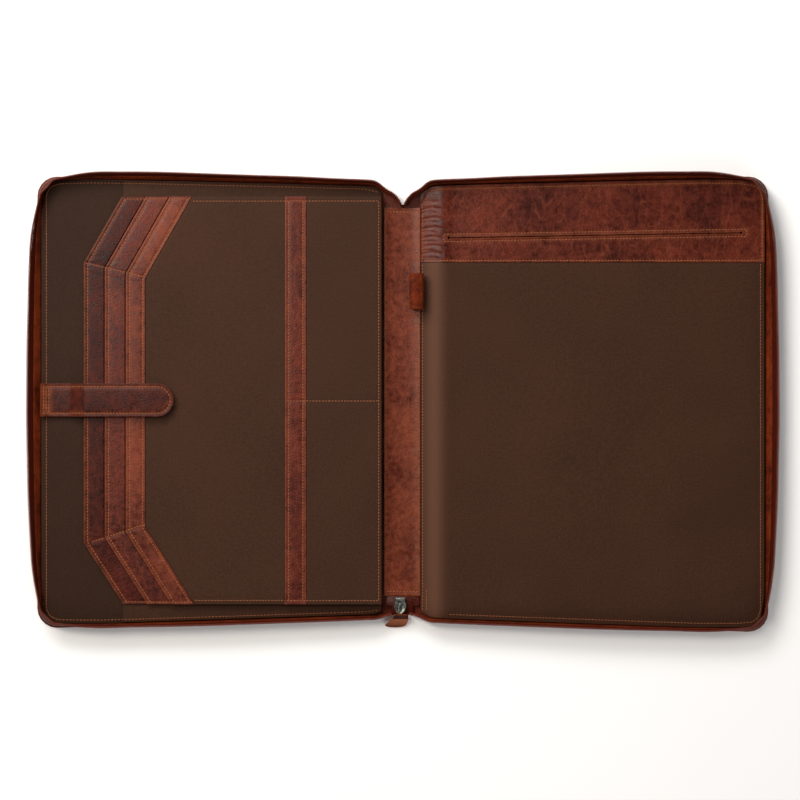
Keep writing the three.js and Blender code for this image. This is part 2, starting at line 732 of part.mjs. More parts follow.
// Slider: a flat body that widens to its nose, on its face the lug that holds the bail.
function addSlider() {
  const nose = sliderNoseWidth / 2;
  const neck = sliderNeckWidth / 2;
  const tip = -sliderLength;
  const shape = new THREE.Shape();
  shape.moveTo(-neck, 0);
  shape.lineTo(-neck * 0.96, 0.24 * tip);
  shape.bezierCurveTo(-nose, 0.4 * tip, -nose, 0.72 * tip, -0.45 * nose, 0.9 * tip);
  shape.quadraticCurveTo(-0.2 * nose, tip, 0, tip);
  shape.quadraticCurveTo(0.2 * nose, tip, 0.45 * nose, 0.9 * tip);
  shape.bezierCurveTo(nose, 0.72 * tip, nose, 0.4 * tip, neck * 0.96, 0.24 * tip);
  shape.lineTo(neck, 0);
  shape.closePath();
  const base = liningBase + webLift + webThickness + seat;
  const body = plate(shape, base, sliderThickness, sliderEase);
  body.translate(sliderMiddle, sliderTop, 0);
  addPiece("slider_body", body, "nickel");
  // The bail stands out from the nose, and the pull hangs from it down to the table.
  const noseTip = sliderTop + tip - seat;
  const bailShape = new THREE.Shape(rectangle(-bailWidth / 2, bailWidth / 2, -bailLength, 0));
  const bailHole = rectangle(
    bailWire - bailWidth / 2, bailWidth / 2 - bailWire, bailWire - bailLength, -bailWire);
  bailShape.holes.push(new THREE.Path(bailHole));
  const bail = plate(bailShape, base + seat, bailWire);
  bail.translate(sliderMiddle + bailShift, noseTip, 0);
  addPiece("slider_bail", bail, "nickel");
  const pullTop = base + bailWire + 2 * seat;
  const pullRows = [
    { run: 0, drop: 0, left: 0.42, right: 0.52 },
    { run: 0.32, drop: 0, left: 0.55, right: 0.55 },
    { run: 0.55, drop: 0.45, left: 0.78, right: 0.5 },
    { run: 0.84, drop: 0.93, left: 1.06, right: 0.4 },
    { run: 1, drop: 1, left: 0.86, right: 0.15 },
  ];
  const x = sliderMiddle + pullShift;
  const rings = pullRows.map((row) => {
    const y = noseTip - row.run * pullRun;
    const low = THREE.MathUtils.lerp(pullTop, 0, row.drop);
    return [
      new THREE.Vector3(x - row.left * pullWidth, y, low),
      new THREE.Vector3(x + row.right * pullWidth, y, low),
      new THREE.Vector3(x + row.right * pullWidth, y, low + pullThickness),
      new THREE.Vector3(x - row.left * pullWidth, y, low + pullThickness),
    ];
  });
  addPiece("pull_tab", skin(rings), "darkLeather");
}

addPiece("outer_cover", plate(coverOutline(), 0, coverThickness, coverEdgeBevel), "leather");
addZipEdge("left", sides.left);
addZipEdge("right", sides.right);
addZipEnds();
addLinings();
addFlatPockets();
addSteppedPockets();
addStrap();
addSpineStrip();
addPenLoop();
addPadPocket();
addSlider();

export default documentCase;
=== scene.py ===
"""Looks of a zip-around leather document case that lies open with its inside up.

Metres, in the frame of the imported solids: X to the pad half, Y to the top edge, Z up.
Sizes of single features are written in millimetres and turned by MM.
"""
import json
import logging
import math
from collections.abc import Callable, Iterator, Sequence
from contextlib import contextmanager
from dataclasses import dataclass, field
from enum import Enum
from functools import cache

import bpy
import numpy as np
from mathutils import Matrix, Vector, noise
from mathutils.bvhtree import BVHTree

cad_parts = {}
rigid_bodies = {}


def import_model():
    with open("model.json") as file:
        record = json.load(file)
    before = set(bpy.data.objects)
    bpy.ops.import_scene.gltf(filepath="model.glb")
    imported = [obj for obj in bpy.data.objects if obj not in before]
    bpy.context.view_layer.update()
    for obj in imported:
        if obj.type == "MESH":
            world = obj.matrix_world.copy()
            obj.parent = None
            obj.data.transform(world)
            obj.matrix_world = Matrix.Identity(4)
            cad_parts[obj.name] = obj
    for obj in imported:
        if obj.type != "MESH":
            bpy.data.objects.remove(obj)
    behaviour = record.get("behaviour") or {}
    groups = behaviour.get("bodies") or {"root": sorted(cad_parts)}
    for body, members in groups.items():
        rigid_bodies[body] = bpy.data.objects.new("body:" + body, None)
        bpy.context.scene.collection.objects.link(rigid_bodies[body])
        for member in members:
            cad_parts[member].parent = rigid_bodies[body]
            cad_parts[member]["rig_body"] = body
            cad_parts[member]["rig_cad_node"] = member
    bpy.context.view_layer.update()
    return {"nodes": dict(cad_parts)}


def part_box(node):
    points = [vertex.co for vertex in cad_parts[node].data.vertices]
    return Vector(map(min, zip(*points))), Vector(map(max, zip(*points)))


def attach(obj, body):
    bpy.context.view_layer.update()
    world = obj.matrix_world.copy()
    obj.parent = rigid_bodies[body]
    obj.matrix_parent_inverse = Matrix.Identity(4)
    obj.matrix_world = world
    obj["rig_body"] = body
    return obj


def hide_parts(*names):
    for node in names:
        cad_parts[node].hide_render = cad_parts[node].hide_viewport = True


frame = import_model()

MM = 0.001
BODY = "root"
ABOVE = 0.1  # height from which surfaces are looked down on
STITCH_PITCH = 2.4  # millimetres from one stitch to the next
WEAR_AND_HIGHLIGHT = "wear"  # attribute for how much lighter a point is drawn: worn skin, and painted highlights
SWELL = 0.45 * MM  # most that the soft layers rise
DOUBLES = 0.002 * MM  # points closer than this are one
Piece = bpy.types.Object
Point = tuple[float, float]
Line = list[Point]
Edge = Callable[[float], float]  # from the X of an outline to its Y, in metres

log = logging.getLogger("document_case")


class Slot(Enum):
    """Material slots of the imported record."""

    LEATHER = "leather"
    DARK_LEATHER = "dark_leather"
    LINING = "lining_fabric"
    TAPE = "zip_tape"
    COIL = "zip_coil"
    NICKEL = "antique_nickel"


class Side(Enum):
    """The two halves of the open case, with the sign of their X."""

    LEFT = -1
    RIGHT = 1

    @property
    def label(self) -> str:
        """Ending of the node names of this half."""
        return self.name.lower()


def linear(colour: str, alpha: float = 1.0) -> tuple[float, float, float, float]:
    """Turns an sRGB hex colour into the linear one that shaders take.

    Args:
        colour: Six hex digits after a hash sign.
        alpha: Fourth value, kept as it is.

    Returns:
        Red, green, blue and alpha.
    """
    parts = [int(colour[at : at + 2], 16) / 255 for at in (1, 3, 5)]
    red, green, blue = (
        part / 12.92 if part <= 0.04045 else ((part + 0.055) / 1.055) ** 2.4 for part in parts
    )
    return red, green, blue, alpha


def add_node(
    tree: bpy.types.NodeTree, kind: str, inputs: dict | None = None, **settings: object
) -> bpy.types.Node:
    """Adds a node with its settings, and sets or links its inputs.

    Args:
        tree: Node tree that takes the node.
        kind: Blender's name of the node type, without the ShaderNode that it starts with.
        inputs: Value or output socket for each input, by its name or number.
        **settings: Properties of the node.

    Returns:
        The new node.
    """
    node = tree.nodes.new(f"ShaderNode{kind}")
    for name, value in settings.items():
        setattr(node, name, value)
    for name, value in (inputs or {}).items():
        if isinstance(value, bpy.types.NodeSocket):
            tree.links.new(value, node.inputs[name])
        else:
            node.inputs[name].default_value = value
    return node


def per_metre(size_mm: float) -> float:
    """Scale of a noise or cell pattern whose features are this many millimetres wide."""
    return 1000 / size_mm


def wave_scale(pitch_mm: float) -> float:
    """Scale of a wave texture whose bands repeat at this pitch in millimetres."""
    return 2 * math.pi / 20 * per_metre(1) / pitch_mm  # at scale 1 a band is 2 pi / 20 wide


@dataclass(frozen=True)
class Finish:
    """What every finish has: a name, and a material that is made once."""

    name: str

    @cache
    def material(self) -> bpy.types.Material:
        """Makes the material on its first use.

        Returns:
            The material, the same one on every call.
        """
        made = bpy.data.materials.new(self.name)
        made.use_nodes = True
        tree = made.node_tree
        tree.nodes.clear()
        surface = self.shade(tree)
        add_node(tree, "OutputMaterial", {"Surface": surface})
        return made

    def shade(self, tree: bpy.types.NodeTree) -> bpy.types.NodeSocket:
        """Builds the finish in a node tree and returns its shader output."""
        raise NotImplementedError


@dataclass(frozen=True)
class PullUpLeather(Finish):
    """Pull-up cowhide: full grain, drum dyed, then waxed by hand.

    The wax gives soft wide highlights. It moves where the hide is bent or worn, so creases,
    scratches and edges turn a lighter orange brown, while the flat skin stays red brown. The same
    lighter tone is also laid on some marked edges and turned faces as a painted highlight.
    """

    deep: str = "#32100a"
    body: str = "#602415"
    rubbed: str = "#743a22"
    edge: str = "#7a3c1c"
    edge_share: float = 0.8
    cloud: float = 42.0  # millimetres, as are the next five
    mottle: float = 4.5
    crackle: float = 4.8
    grain: float = 1.0
    bend: float = 9.0  # stretches over which cracks and scratches bend
    stroke: float = 9.0  # from one scratch to the next
    stroke_turn: float = 0.9  # radians
    stroke_length: float = 6.25  # times its width
    crackle_share: float = 0.44
    crackle_width: float = 0.042  # share of a cell
    scratch_share: float = 0.4
    scratch_width: float = 0.024
    relief: float = 0.22  # millimetres
    roughness: float = 0.36
    shine: float = 0.17

    def shade(self, tree: bpy.types.NodeTree) -> bpy.types.NodeSocket:
        """Builds clouds of dye, fine cracks, long scratches, grain, worn edges and painted highlights.

        Args:
            tree: Node tree of the material.

        Returns:
            Shader output.
        """
        where = add_node(tree, "TexCoord")
        spot = where.outputs["Object"]
        clouds = add_node(tree, "TexNoise",
                          {"Vector": spot, "Scale": per_metre(self.cloud), "Detail": 5.0,
                           "Roughness": 0.62})
        mottle = add_node(tree, "TexNoise",
                          {"Vector": spot, "Scale": per_metre(self.mottle), "Detail": 4.0,
                           "Roughness": 0.7})
        tone = add_node(tree, "Math", {0: clouds.outputs["Fac"], 1: mottle.outputs["Fac"]},
                        operation="ADD")
        spread = add_node(tree, "MapRange",
                          {"Value": tone.outputs[0], "From Min": 0.76, "From Max": 1.24})
        dye = add_node(tree, "Mix",
                       {0: spread.outputs["Result"], 6: linear(self.deep), 7: linear(self.body)},
                       data_type="RGBA")
        # Cracks in the wax: cell borders, bent by noise and broken into patches.
        shift = add_node(tree, "TexNoise",
                         {"Vector": spot, "Scale": per_metre(self.bend), "Detail": 2.0})
        bent = add_node(tree, "VectorMath",
                        {0: shift.outputs["Color"], 1: (4 * MM,) * 3, 2: spot},
                        operation="MULTIPLY_ADD")
        cells = add_node(tree, "TexVoronoi",
                         {"Vector": bent.outputs[0], "Scale": per_metre(self.crackle)},
                         feature="DISTANCE_TO_EDGE")
        crack = add_node(tree, "MapRange",
                         {"Value": cells.outputs["Distance"], "From Min": self.crackle_width,
                          "From Max": 0.0})
        patch = add_node(tree, "MapRange",
                         {"Value": clouds.outputs["Fac"], "From Min": 0.4, "From Max": 0.62})
        cracks = add_node(tree, "Math",
                          {0: crack.outputs["Result"], 1: patch.outputs["Result"]}, operation="MULTIPLY")
        crack_share = add_node(tree, "Math",
                               {0: cracks.outputs[0], 1: self.crackle_share}, operation="MULTIPLY")
        # Scratches: borders of long cells that lie slantwise over the hide.
        slanted = add_node(tree, "Mapping",
                           {"Vector": bent.outputs[0], "Rotation": (0.0, 0.0, self.stroke_turn),
                            "Scale": (1.0, 1 / self.stroke_length, 1.0)})
        strokes = add_node(tree, "TexVoronoi",
                           {"Vector": slanted.outputs[0], "Scale": per_metre(self.stroke)},
                           feature="DISTANCE_TO_EDGE")
        scratch = add_node(tree, "MapRange",
                           {"Value": strokes.outputs["Distance"], "From Min": self.scratch_width,
                            "From Max": 0.0, "To Max": self.scratch_share})
        marks = add_node(tree, "Math",
                         {0: crack_share.outputs[0], 1: scratch.outputs["Result"]}, operation="MAXIMUM")
        # Worn skin and painted highlight, as marked on the mesh: the skin beside seams and turned edges
        # is worn, and marked edges that would catch the light are drawn lighter.
        worn = add_node(tree, "Attribute", attribute_name=WEAR_AND_HIGHLIGHT)
        uneven = add_node(tree, "MapRange",
                          {"Value": mottle.outputs["Fac"], "From Min": 0.3, "From Max": 0.62,
                           "To Min": 0.2, "To Max": 0.8})
        wear = add_node(tree, "Math", {0: worn.outputs["Fac"], 1: uneven.outputs["Result"]},
                        operation="MULTIPLY")
        rub_and_highlight_mask = add_node(tree, "Math", {0: marks.outputs[0], 1: wear.outputs[0]},
                       operation="MAXIMUM")
        skin = add_node(tree, "Mix",
                        {0: rub_and_highlight_mask.outputs[0], 6: dye.outputs[2], 7: linear(self.rubbed)}, data_type="RGBA")
        # Edges: where the skin turns away from level, the wax is rubbed off; on the zip pull this tone
        # is a painted highlight on faces that the lamps leave dim.
        facing = add_node(tree, "SeparateXYZ", {"Vector": where.outputs["Normal"]})
        turned = add_node(tree, "MapRange",
                          {"Value": facing.outputs["Z"], "From Min": 0.93, "From Max": 0.35,
                           "To Max": self.edge_share})
        colour = add_node(tree, "Mix",
                          {0: turned.outputs["Result"], 6: skin.outputs[2], 7: linear(self.edge)},
                          data_type="RGBA")
        pores = add_node(tree, "TexVoronoi",
                         {"Vector": spot, "Scale": per_metre(self.grain)}, feature="SMOOTH_F1")
        relief = add_node(tree, "Math",
                          {0: cracks.outputs[0], 1: -0.7, 2: pores.outputs["Distance"]},
                          operation="MULTIPLY_ADD")
        rough = add_node(tree, "MapRange",
                         {"Value": mottle.outputs["Fac"], "From Min": 0.3, "From Max": 0.7,
                          "To Min": self.roughness - 0.08, "To Max": self.roughness + 0.12})
        bump = add_node(tree, "Bump",
                        {"Height": relief.outputs[0], "Strength": 0.4, "Distance": self.relief * MM})
        shader = add_node(tree, "BsdfPrincipled",
                          {"Base Color": colour.outputs[2], "Roughness": rough.outputs["Result"],
                           "Normal": bump.outputs[0], "Specular IOR Level": self.shine})
        return shader.outputs[0]


@dataclass(frozen=True)
class WovenCloth(Finish):
    """Plain-woven polyester: warp and weft of the same dyed yarn, calendered flat.

    It gives a matt, even surface with a fine crossed grain and a faint sheen at grazing angles.
    The yarn is about 0.4 mm in the real cloth, which is too fine to show, so it is drawn coarser.
    """

    shade_dark: str = "#2c1a10"
    shade_light: str = "#43291b"
    rubbed: str = "#553728"
    yarn: float = 1.0  # millimetres, as are the next three
    cloud: float = 70.0
    slub: float = 1.6
    relief: float = 0.12
    weft_share: float = 1.12  # pitch of the weft against the warp's
    sheen: float = 0.02
    sheen_tint: str = "#8a6a50"
    roughness: float = 0.6
    shine: float = 0.09

    def shade(self, tree: bpy.types.NodeTree) -> bpy.types.NodeSocket:
        """Builds crossed yarns over soft clouds of tone, with a painted highlight where the mesh is
        marked.

        Args:
            tree: Node tree of the material.

        Returns:
            Shader output.
        """
        spot = add_node(tree, "TexCoord").outputs["Object"]
        warp = add_node(tree, "TexWave",
                        {"Vector": spot, "Scale": wave_scale(self.yarn), "Distortion": 0.5,
                         "Detail": 1.0, "Detail Scale": 0.4}, bands_direction="X")
        weft = add_node(tree, "TexWave",
                        {"Vector": spot, "Scale": wave_scale(self.yarn * self.weft_share),
                         "Distortion": 0.5, "Detail": 1.0, "Detail Scale": 0.4},
                        bands_direction="Y")
        weave = add_node(tree, "Math",
                         {0: warp.outputs["Fac"], 1: weft.outputs["Fac"]}, operation="MULTIPLY")
        clouds = add_node(tree, "TexNoise",
                          {"Vector": spot, "Scale": per_metre(self.cloud), "Detail": 3.0,
                           "Roughness": 0.5})
        slub = add_node(tree, "TexNoise",
                        {"Vector": spot, "Scale": per_metre(self.slub), "Detail": 2.0,
                         "Roughness": 0.6})
        soft = add_node(tree, "Math", {0: clouds.outputs["Fac"], 1: 0.3},
                        operation="MULTIPLY")
        fleck = add_node(tree, "Math",
                         {0: slub.outputs["Fac"], 1: 0.6, 2: soft.outputs[0]}, operation="MULTIPLY_ADD")
        tone = add_node(tree, "Math",
                        {0: weave.outputs[0], 1: 0.12, 2: fleck.outputs[0]}, operation="MULTIPLY_ADD")
        spread = add_node(tree, "MapRange",
                          {"Value": tone.outputs[0], "From Min": 0.2, "From Max": 0.75})
        colour = add_node(tree, "Mix",
                          {0: spread.outputs["Result"], 6: linear(self.shade_dark),
                           7: linear(self.shade_light)}, data_type="RGBA")
        # Painted highlight: along a roll, as marked on the mesh, the cloth is drawn lighter to stand for
        # the light that the roll catches.
        worn = add_node(tree, "Attribute", attribute_name=WEAR_AND_HIGHLIGHT)
        rubbed = add_node(tree, "Mix",
                          {0: worn.outputs["Fac"], 6: colour.outputs[2], 7: linear(self.rubbed)},
                          data_type="RGBA")
        bump = add_node(tree, "Bump",
                        {"Height": weave.outputs[0], "Strength": 0.22, "Distance": self.relief * MM})
        shader = add_node(tree, "BsdfPrincipled",
                          {"Base Color": rubbed.outputs[2], "Roughness": self.roughness,
                           "Normal": bump.outputs[0], "Specular IOR Level": self.shine,
                           "Sheen Weight": self.sheen, "Sheen Tint": linear(self.sheen_tint)})
        return shader.outputs[0]


@dataclass(frozen=True)
class MouldedNylon(Finish):
    """Dyed nylon monofilament, drawn and coiled.

    It gives smooth, slightly translucent-looking turns with small bright highlights.
    """

    deep: str = "#40150c"
    body: str = "#6e2c1c"
    cloud: float = 12.0  # millimetres
    roughness: float = 0.42
    shine: float = 0.16

    def shade(self, tree: bpy.types.NodeTree) -> bpy.types.NodeSocket:
        """Builds a smooth dyed surface with slight changes of tone.

        Args:
            tree: Node tree of the material.

        Returns:
            Shader output.
        """
        spot = add_node(tree, "TexCoord").outputs["Object"]
        clouds = add_node(tree, "TexNoise",
                          {"Vector": spot, "Scale": per_metre(self.cloud), "Detail": 3.0})
        colour = add_node(tree, "Mix",
                          {0: clouds.outputs["Fac"], 6: linear(self.deep), 7: linear(self.body)},
                          data_type="RGBA")
        rough = add_node(tree, "MapRange",
                         {"Value": clouds.outputs["Fac"], "To Min": self.roughness - 0.06,
                          "To Max": self.roughness + 0.1})
        shader = add_node(tree, "BsdfPrincipled",
                          {"Base Color": colour.outputs[2], "Roughness": rough.outputs["Result"],
                           "IOR": 1.53, "Specular IOR Level": self.shine})
        return shader.outputs[0]


@dataclass(frozen=True)
class SewingThread(Finish):
    """Bonded polyester thread: three plies twisted hard and waxed.

    It gives a tan orange stitch with fine slanting plies and a dull shine.
    """

    deep: str = "#6f3b20"
    body: str = "#9d5d38"
    ply: float = 0.5  # millimetres, drawn coarser than the real 0.25
    cloud: float = 5.0
    relief: float = 0.08

    def shade(self, tree: bpy.types.NodeTree) -> bpy.types.NodeSocket:
        """Builds slanting plies and a change of tone from stitch to stitch.

        Args:
            tree: Node tree of the material.

        Returns:
            Shader output.
        """
        spot = add_node(tree, "TexCoord").outputs["Object"]
        plies = add_node(tree, "TexWave", {"Vector": spot, "Scale": wave_scale(self.ply)},
                         bands_direction="DIAGONAL")
        dye = add_node(tree, "TexNoise",
                       {"Vector": spot, "Scale": per_metre(self.cloud), "Detail": 2.0})
        colour = add_node(tree, "Mix",
                          {0: dye.outputs["Fac"], 6: linear(self.deep), 7: linear(self.body)},
                          data_type="RGBA")
        bump = add_node(tree, "Bump",
                        {"Height": plies.outputs["Fac"], "Strength": 0.4, "Distance": self.relief * MM})
        shader = add_node(tree, "BsdfPrincipled",
                          {"Base Color": colour.outputs[2], "Roughness": 0.6,
                           "Normal": bump.outputs[0], "Specular IOR Level": 0.3})
        return shader.outputs[0]


@dataclass(frozen=True)
class AntiqueNickel(Finish):
    """Die-cast zinc, nickel plated, blackened and tumbled.

    Tumbling rubs the dark film off the rims, so they are pale and bright and the hollows stay
    a cloudy grey green.
    """

    film: str = "#555b54"
    bare: str = "#d0d1ca"
    cloud: float = 2.2  # millimetres
    relief: float = 0.05
    roughness: float = 0.34

    def shade(self, tree: bpy.types.NodeTree) -> bpy.types.NodeSocket:
        """Builds the dark film, and bare metal where the surface turns away from level.

        Args:
            tree: Node tree of the material.

        Returns:
            Shader output.
        """
        where = add_node(tree, "TexCoord")
        clouds = add_node(tree, "TexNoise",
                          {"Vector": where.outputs["Object"], "Scale": per_metre(self.cloud),
                           "Detail": 5.0, "Roughness": 0.65})
        facing = add_node(tree, "SeparateXYZ", {"Vector": where.outputs["Normal"]})
        rim = add_node(tree, "MapRange",
                       {"Value": facing.outputs["Z"], "From Min": 0.97, "From Max": 0.6, "To Max": 0.8})
        spots = add_node(tree, "MapRange",
                         {"Value": clouds.outputs["Fac"], "From Min": 0.55, "From Max": 0.75,
                          "To Max": 0.5})
        worn = add_node(tree, "Math",
                        {0: rim.outputs["Result"], 1: spots.outputs["Result"]}, operation="MAXIMUM")
        colour = add_node(tree, "Mix",
                          {0: worn.outputs[0], 6: linear(self.film), 7: linear(self.bare)},
                          data_type="RGBA")
        rough = add_node(tree, "MapRange",
                         {"Value": clouds.outputs["Fac"], "From Min": 0.3, "From Max": 0.7,
                          "To Min": self.roughness - 0.1, "To Max": self.roughness + 0.14})
        bump = add_node(tree, "Bump",
                        {"Height": clouds.outputs["Fac"], "Strength": 0.2, "Distance": self.relief * MM})
        shader = add_node(tree, "BsdfPrincipled",
                          {"Base Color": colour.outputs[2], "Metallic": 1.0,
                           "Roughness": rough.outputs["Result"], "Normal": bump.outputs[0]})
        return shader.outputs[0]


@dataclass(frozen=True)
class PaintedFloor(Finish):
    """Matt emulsion on smooth board: an even pale ground with hardly any shine."""

    paint: str = "#fcfcfb"
    shadow: str = "#f8f8f7"
    cloud: float = 300.0  # millimetres

    def shade(self, tree: bpy.types.NodeTree) -> bpy.types.NodeSocket:
        """Builds the paint with a faint unevenness.

        Args:
            tree: Node tree of the material.

        Returns:
            Shader output.
        """
        spot = add_node(tree, "TexCoord").outputs["Object"]
        clouds = add_node(tree, "TexNoise",
                          {"Vector": spot, "Scale": per_metre(self.cloud), "Detail": 2.0})
        colour = add_node(tree, "Mix",
                          {0: clouds.outputs["Fac"], 6: linear(self.shadow), 7: linear(self.paint)},
                          data_type="RGBA")
        shader = add_node(tree, "BsdfPrincipled",
                          {"Base Color": colour.outputs[2], "Roughness": 0.9, "IOR": 1.4})
        return shader.outputs[0]


# One hide varies from back to belly, so the pieces are cut from darker and lighter areas of it. The wall
# cut is an exception: its lighter tone is a painted highlight.
LEATHER = PullUpLeather("pull_up_leather")
# The wall cut is drawn lighter and more orange than the cover: a painted highlight for the light on the
# walls' inner faces.
LIT_WALL_LEATHER = PullUpLeather("pull_up_leather_wall", deep="#3a1107", body="#702b10",
                             rubbed="#7a3a1a", edge_share=0.0, cloud=22.0, crackle_share=0.2,
                             roughness=0.5, shine=0.05)
LIGHT_LEATHER = PullUpLeather("pull_up_leather_light", deep="#40150c", body="#70321d")
DARK_LEATHER = PullUpLeather("pull_up_leather_dark", deep="#200805", body="#48170d",
                             crackle_share=0.16, scratch_share=0.14, shine=0.13)
# The pull's turned faces take the bright edge tone in full: a painted highlight on faces that the lamps
# leave dim.
PULL_LEATHER = PullUpLeather("pull_up_leather_zip_pull", deep="#150603", body="#2e1008",
                             edge="#b4581a", edge_share=1.0)
LINING = WovenCloth("woven_lining")
# The left board's lining is drawn darker than the rest: painted shade beside the left wall.
SHADED_BOARD_LINING = WovenCloth("woven_lining_board", shade_dark="#23150c", shade_light="#362115")
TAPE = WovenCloth("woven_zip_tape", shade_dark="#290a05", shade_light="#4a170d", yarn=0.8,
                  sheen=0.0, shine=0.03)
COIL = MouldedNylon("nylon_coil")
THREAD = SewingThread("bonded_thread")
NICKEL = AntiqueNickel("antique_nickel")
FLOOR = PaintedFloor("matt_floor_paint")


def take(piece: Piece) -> None:
    """Makes a piece the only one selected, and the active one.

    Args:
        piece: Mesh object, in object mode.
    """
    bpy.ops.object.select_all(action="DESELECT")
    piece.select_set(True)
    bpy.context.view_layer.objects.active = piece


@contextmanager
def editing(piece: Piece, whole: bool = False) -> Iterator[None]:
    """Opens a piece in edit mode, with faces selectable, and leaves it again.

    Args:
        piece: Mesh object.
        whole: Whether all of it is selected.

    Returns:
        A context in which the mesh operators work on the piece.
    """
    take(piece)
    bpy.context.tool_settings.mesh_select_mode = (False, False, True)
    bpy.ops.object.mode_set(mode="EDIT")
    if whole:
        bpy.ops.mesh.select_all(action="SELECT")
    yield
    bpy.ops.object.mode_set(mode="OBJECT")


def pick_faces(piece: Piece, wanted: Callable[[Vector, Vector], bool]) -> None:
    """Selects the faces whose middle and normal fit, and no others.

    Args:
        piece: Mesh object, in object mode.
        wanted: Takes a face's middle and normal and says whether it is selected.
    """
    mesh = piece.data
    for part in (*mesh.vertices, *mesh.edges):
        part.select = False
    for face in mesh.polygons:
        face.select = wanted(face.center, face.normal)


def finish_with(piece: Piece, kind: str, **settings: object) -> None:
    """Adds a modifier of a kind with its settings and applies it.

    Args:
        piece: Mesh object that takes it.
        kind: Blender's name of the modifier type.
        **settings: Properties of the modifier.
    """
    take(piece)
    modifier = piece.modifiers.new(kind.lower(), kind)
    for name, value in settings.items():
        setattr(modifier, name, value)
    bpy.ops.object.modifier_apply(modifier=modifier.name)


def ease_edges(piece: Piece, width: float, segments: int = 2, angle: float = 40.0) -> None:
    """Rounds the sharp edges of a piece and shades it smooth.

    Args:
        piece: Mesh object.
        width: Width of the rounding in metres.
        segments: Faces across the rounding.
        angle: Edges sharper than this many degrees are rounded.
    """
    finish_with(piece, "BEVEL", width=width, segments=segments, limit_method="ANGLE",
                angle_limit=math.radians(angle), use_clamp_overlap=True)
    smooth(piece)


def smooth(piece: Piece, angle: float = 40.0) -> None:
    """Shades a piece smooth up to an angle in degrees."""
    take(piece)
    bpy.ops.object.shade_smooth_by_angle(angle=math.radians(angle))


def face_outward(piece: Piece) -> None:
    """Merges the doubles of a closed piece and turns its faces outward.

    Args:
        piece: Mesh object.
    """
    with editing(piece, whole=True):
        bpy.ops.mesh.remove_doubles(threshold=DOUBLES)
        bpy.ops.mesh.normals_make_consistent(inside=False)


def face_up(piece: Piece) -> None:
    """Turns the faces of an open sheet upward.

    Args:
        piece: The sheet.
    """
    mesh = piece.data
    if sum(face.normal.z * face.area for face in mesh.polygons) < 0:
        mesh.flip_normals()


def copy_of(node: str, name: str) -> Piece:
    """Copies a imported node's solid, merged and with its flat faces whole.

    Args:
        node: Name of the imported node.
        name: Name of the new piece.

    Returns:
        The copy, at the origin and on no body.
    """
    source = frame["nodes"][node]
    take(source)
    bpy.ops.object.duplicate(linked=False)
    piece = bpy.context.view_layer.objects.active
    bpy.ops.object.parent_clear(type="CLEAR")
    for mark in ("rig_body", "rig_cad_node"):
        if mark in piece:
            del piece[mark]
    piece.name = name
    piece.data.name = name
    face_outward(piece)
    with editing(piece, whole=True):
        bpy.ops.mesh.dissolve_limited(angle_limit=math.radians(0.5))
    return piece


def join(pieces: Sequence[Piece], name: str) -> Piece:
    """Joins pieces into one.

    Args:
        pieces: Mesh objects, of which the first keeps its material first.
        name: Name of the joined piece.

    Returns:
        The joined piece.
    """
    take(pieces[0])
    for piece in pieces[1:]:
        piece.select_set(True)
    bpy.ops.object.join()
    pieces[0].name = name
    pieces[0].data.name = name
    return pieces[0]


def lay_grid(name: str, columns: int, rows: int, place: Callable[[float, float], Vector]) -> Piece:
    """Adds a grid and moves each of its points to its place.

    Args:
        name: Name of the new piece.
        columns: Faces along its first direction.
        rows: Faces along its second direction.
        place: Takes the two shares from 0 to 1 and gives the point in metres.

    Returns:
        The laid grid, as an open sheet.
    """
    bpy.ops.object.select_all(action="DESELECT")
    bpy.ops.mesh.primitive_grid_add(x_subdivisions=columns, y_subdivisions=rows, size=1)
    piece = bpy.context.active_object
    piece.name = name
    piece.data.name = name
    for vertex in piece.data.vertices:
        vertex.co = place(vertex.co.x + 0.5, vertex.co.y + 0.5)
    return piece


def hand_over(
    piece: Piece, finish: Finish, slot: Slot | None = None, replaces: Sequence[str] = ()
) -> Piece:
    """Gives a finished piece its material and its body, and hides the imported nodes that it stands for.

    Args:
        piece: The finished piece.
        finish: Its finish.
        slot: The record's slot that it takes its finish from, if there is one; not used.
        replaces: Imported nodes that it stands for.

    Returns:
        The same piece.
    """
    piece.data.materials.clear()
    piece.data.materials.append(finish.material())
    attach(piece, BODY)
    if replaces:
        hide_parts(*replaces)
    log.info("%s: %d faces", piece.name, len(piece.data.polygons))
    return piece


def mesh_points(piece: Piece) -> np.ndarray:
    """Reads the points of a piece's mesh.

    Args:
        piece: Mesh object.

    Returns:
        The points in metres, one in each row.
    """
    points = np.empty(len(piece.data.vertices) * 3)
    piece.data.vertices.foreach_get("co", points)
    return points.reshape(-1, 3)


def mix(low: float, high: float, share: float) -> float:
    """Value at a share of the way from one value to another."""
    return low + (high - low) * share


def swell(x: float, y: float) -> float:
    """How far the soft layers rise over a point, in metres, the same for all layers."""
    spot = Vector((x * 11, y * 13, 4.2))
    return SWELL * (0.5 + 0.5 * noise.noise(spot)) ** 2


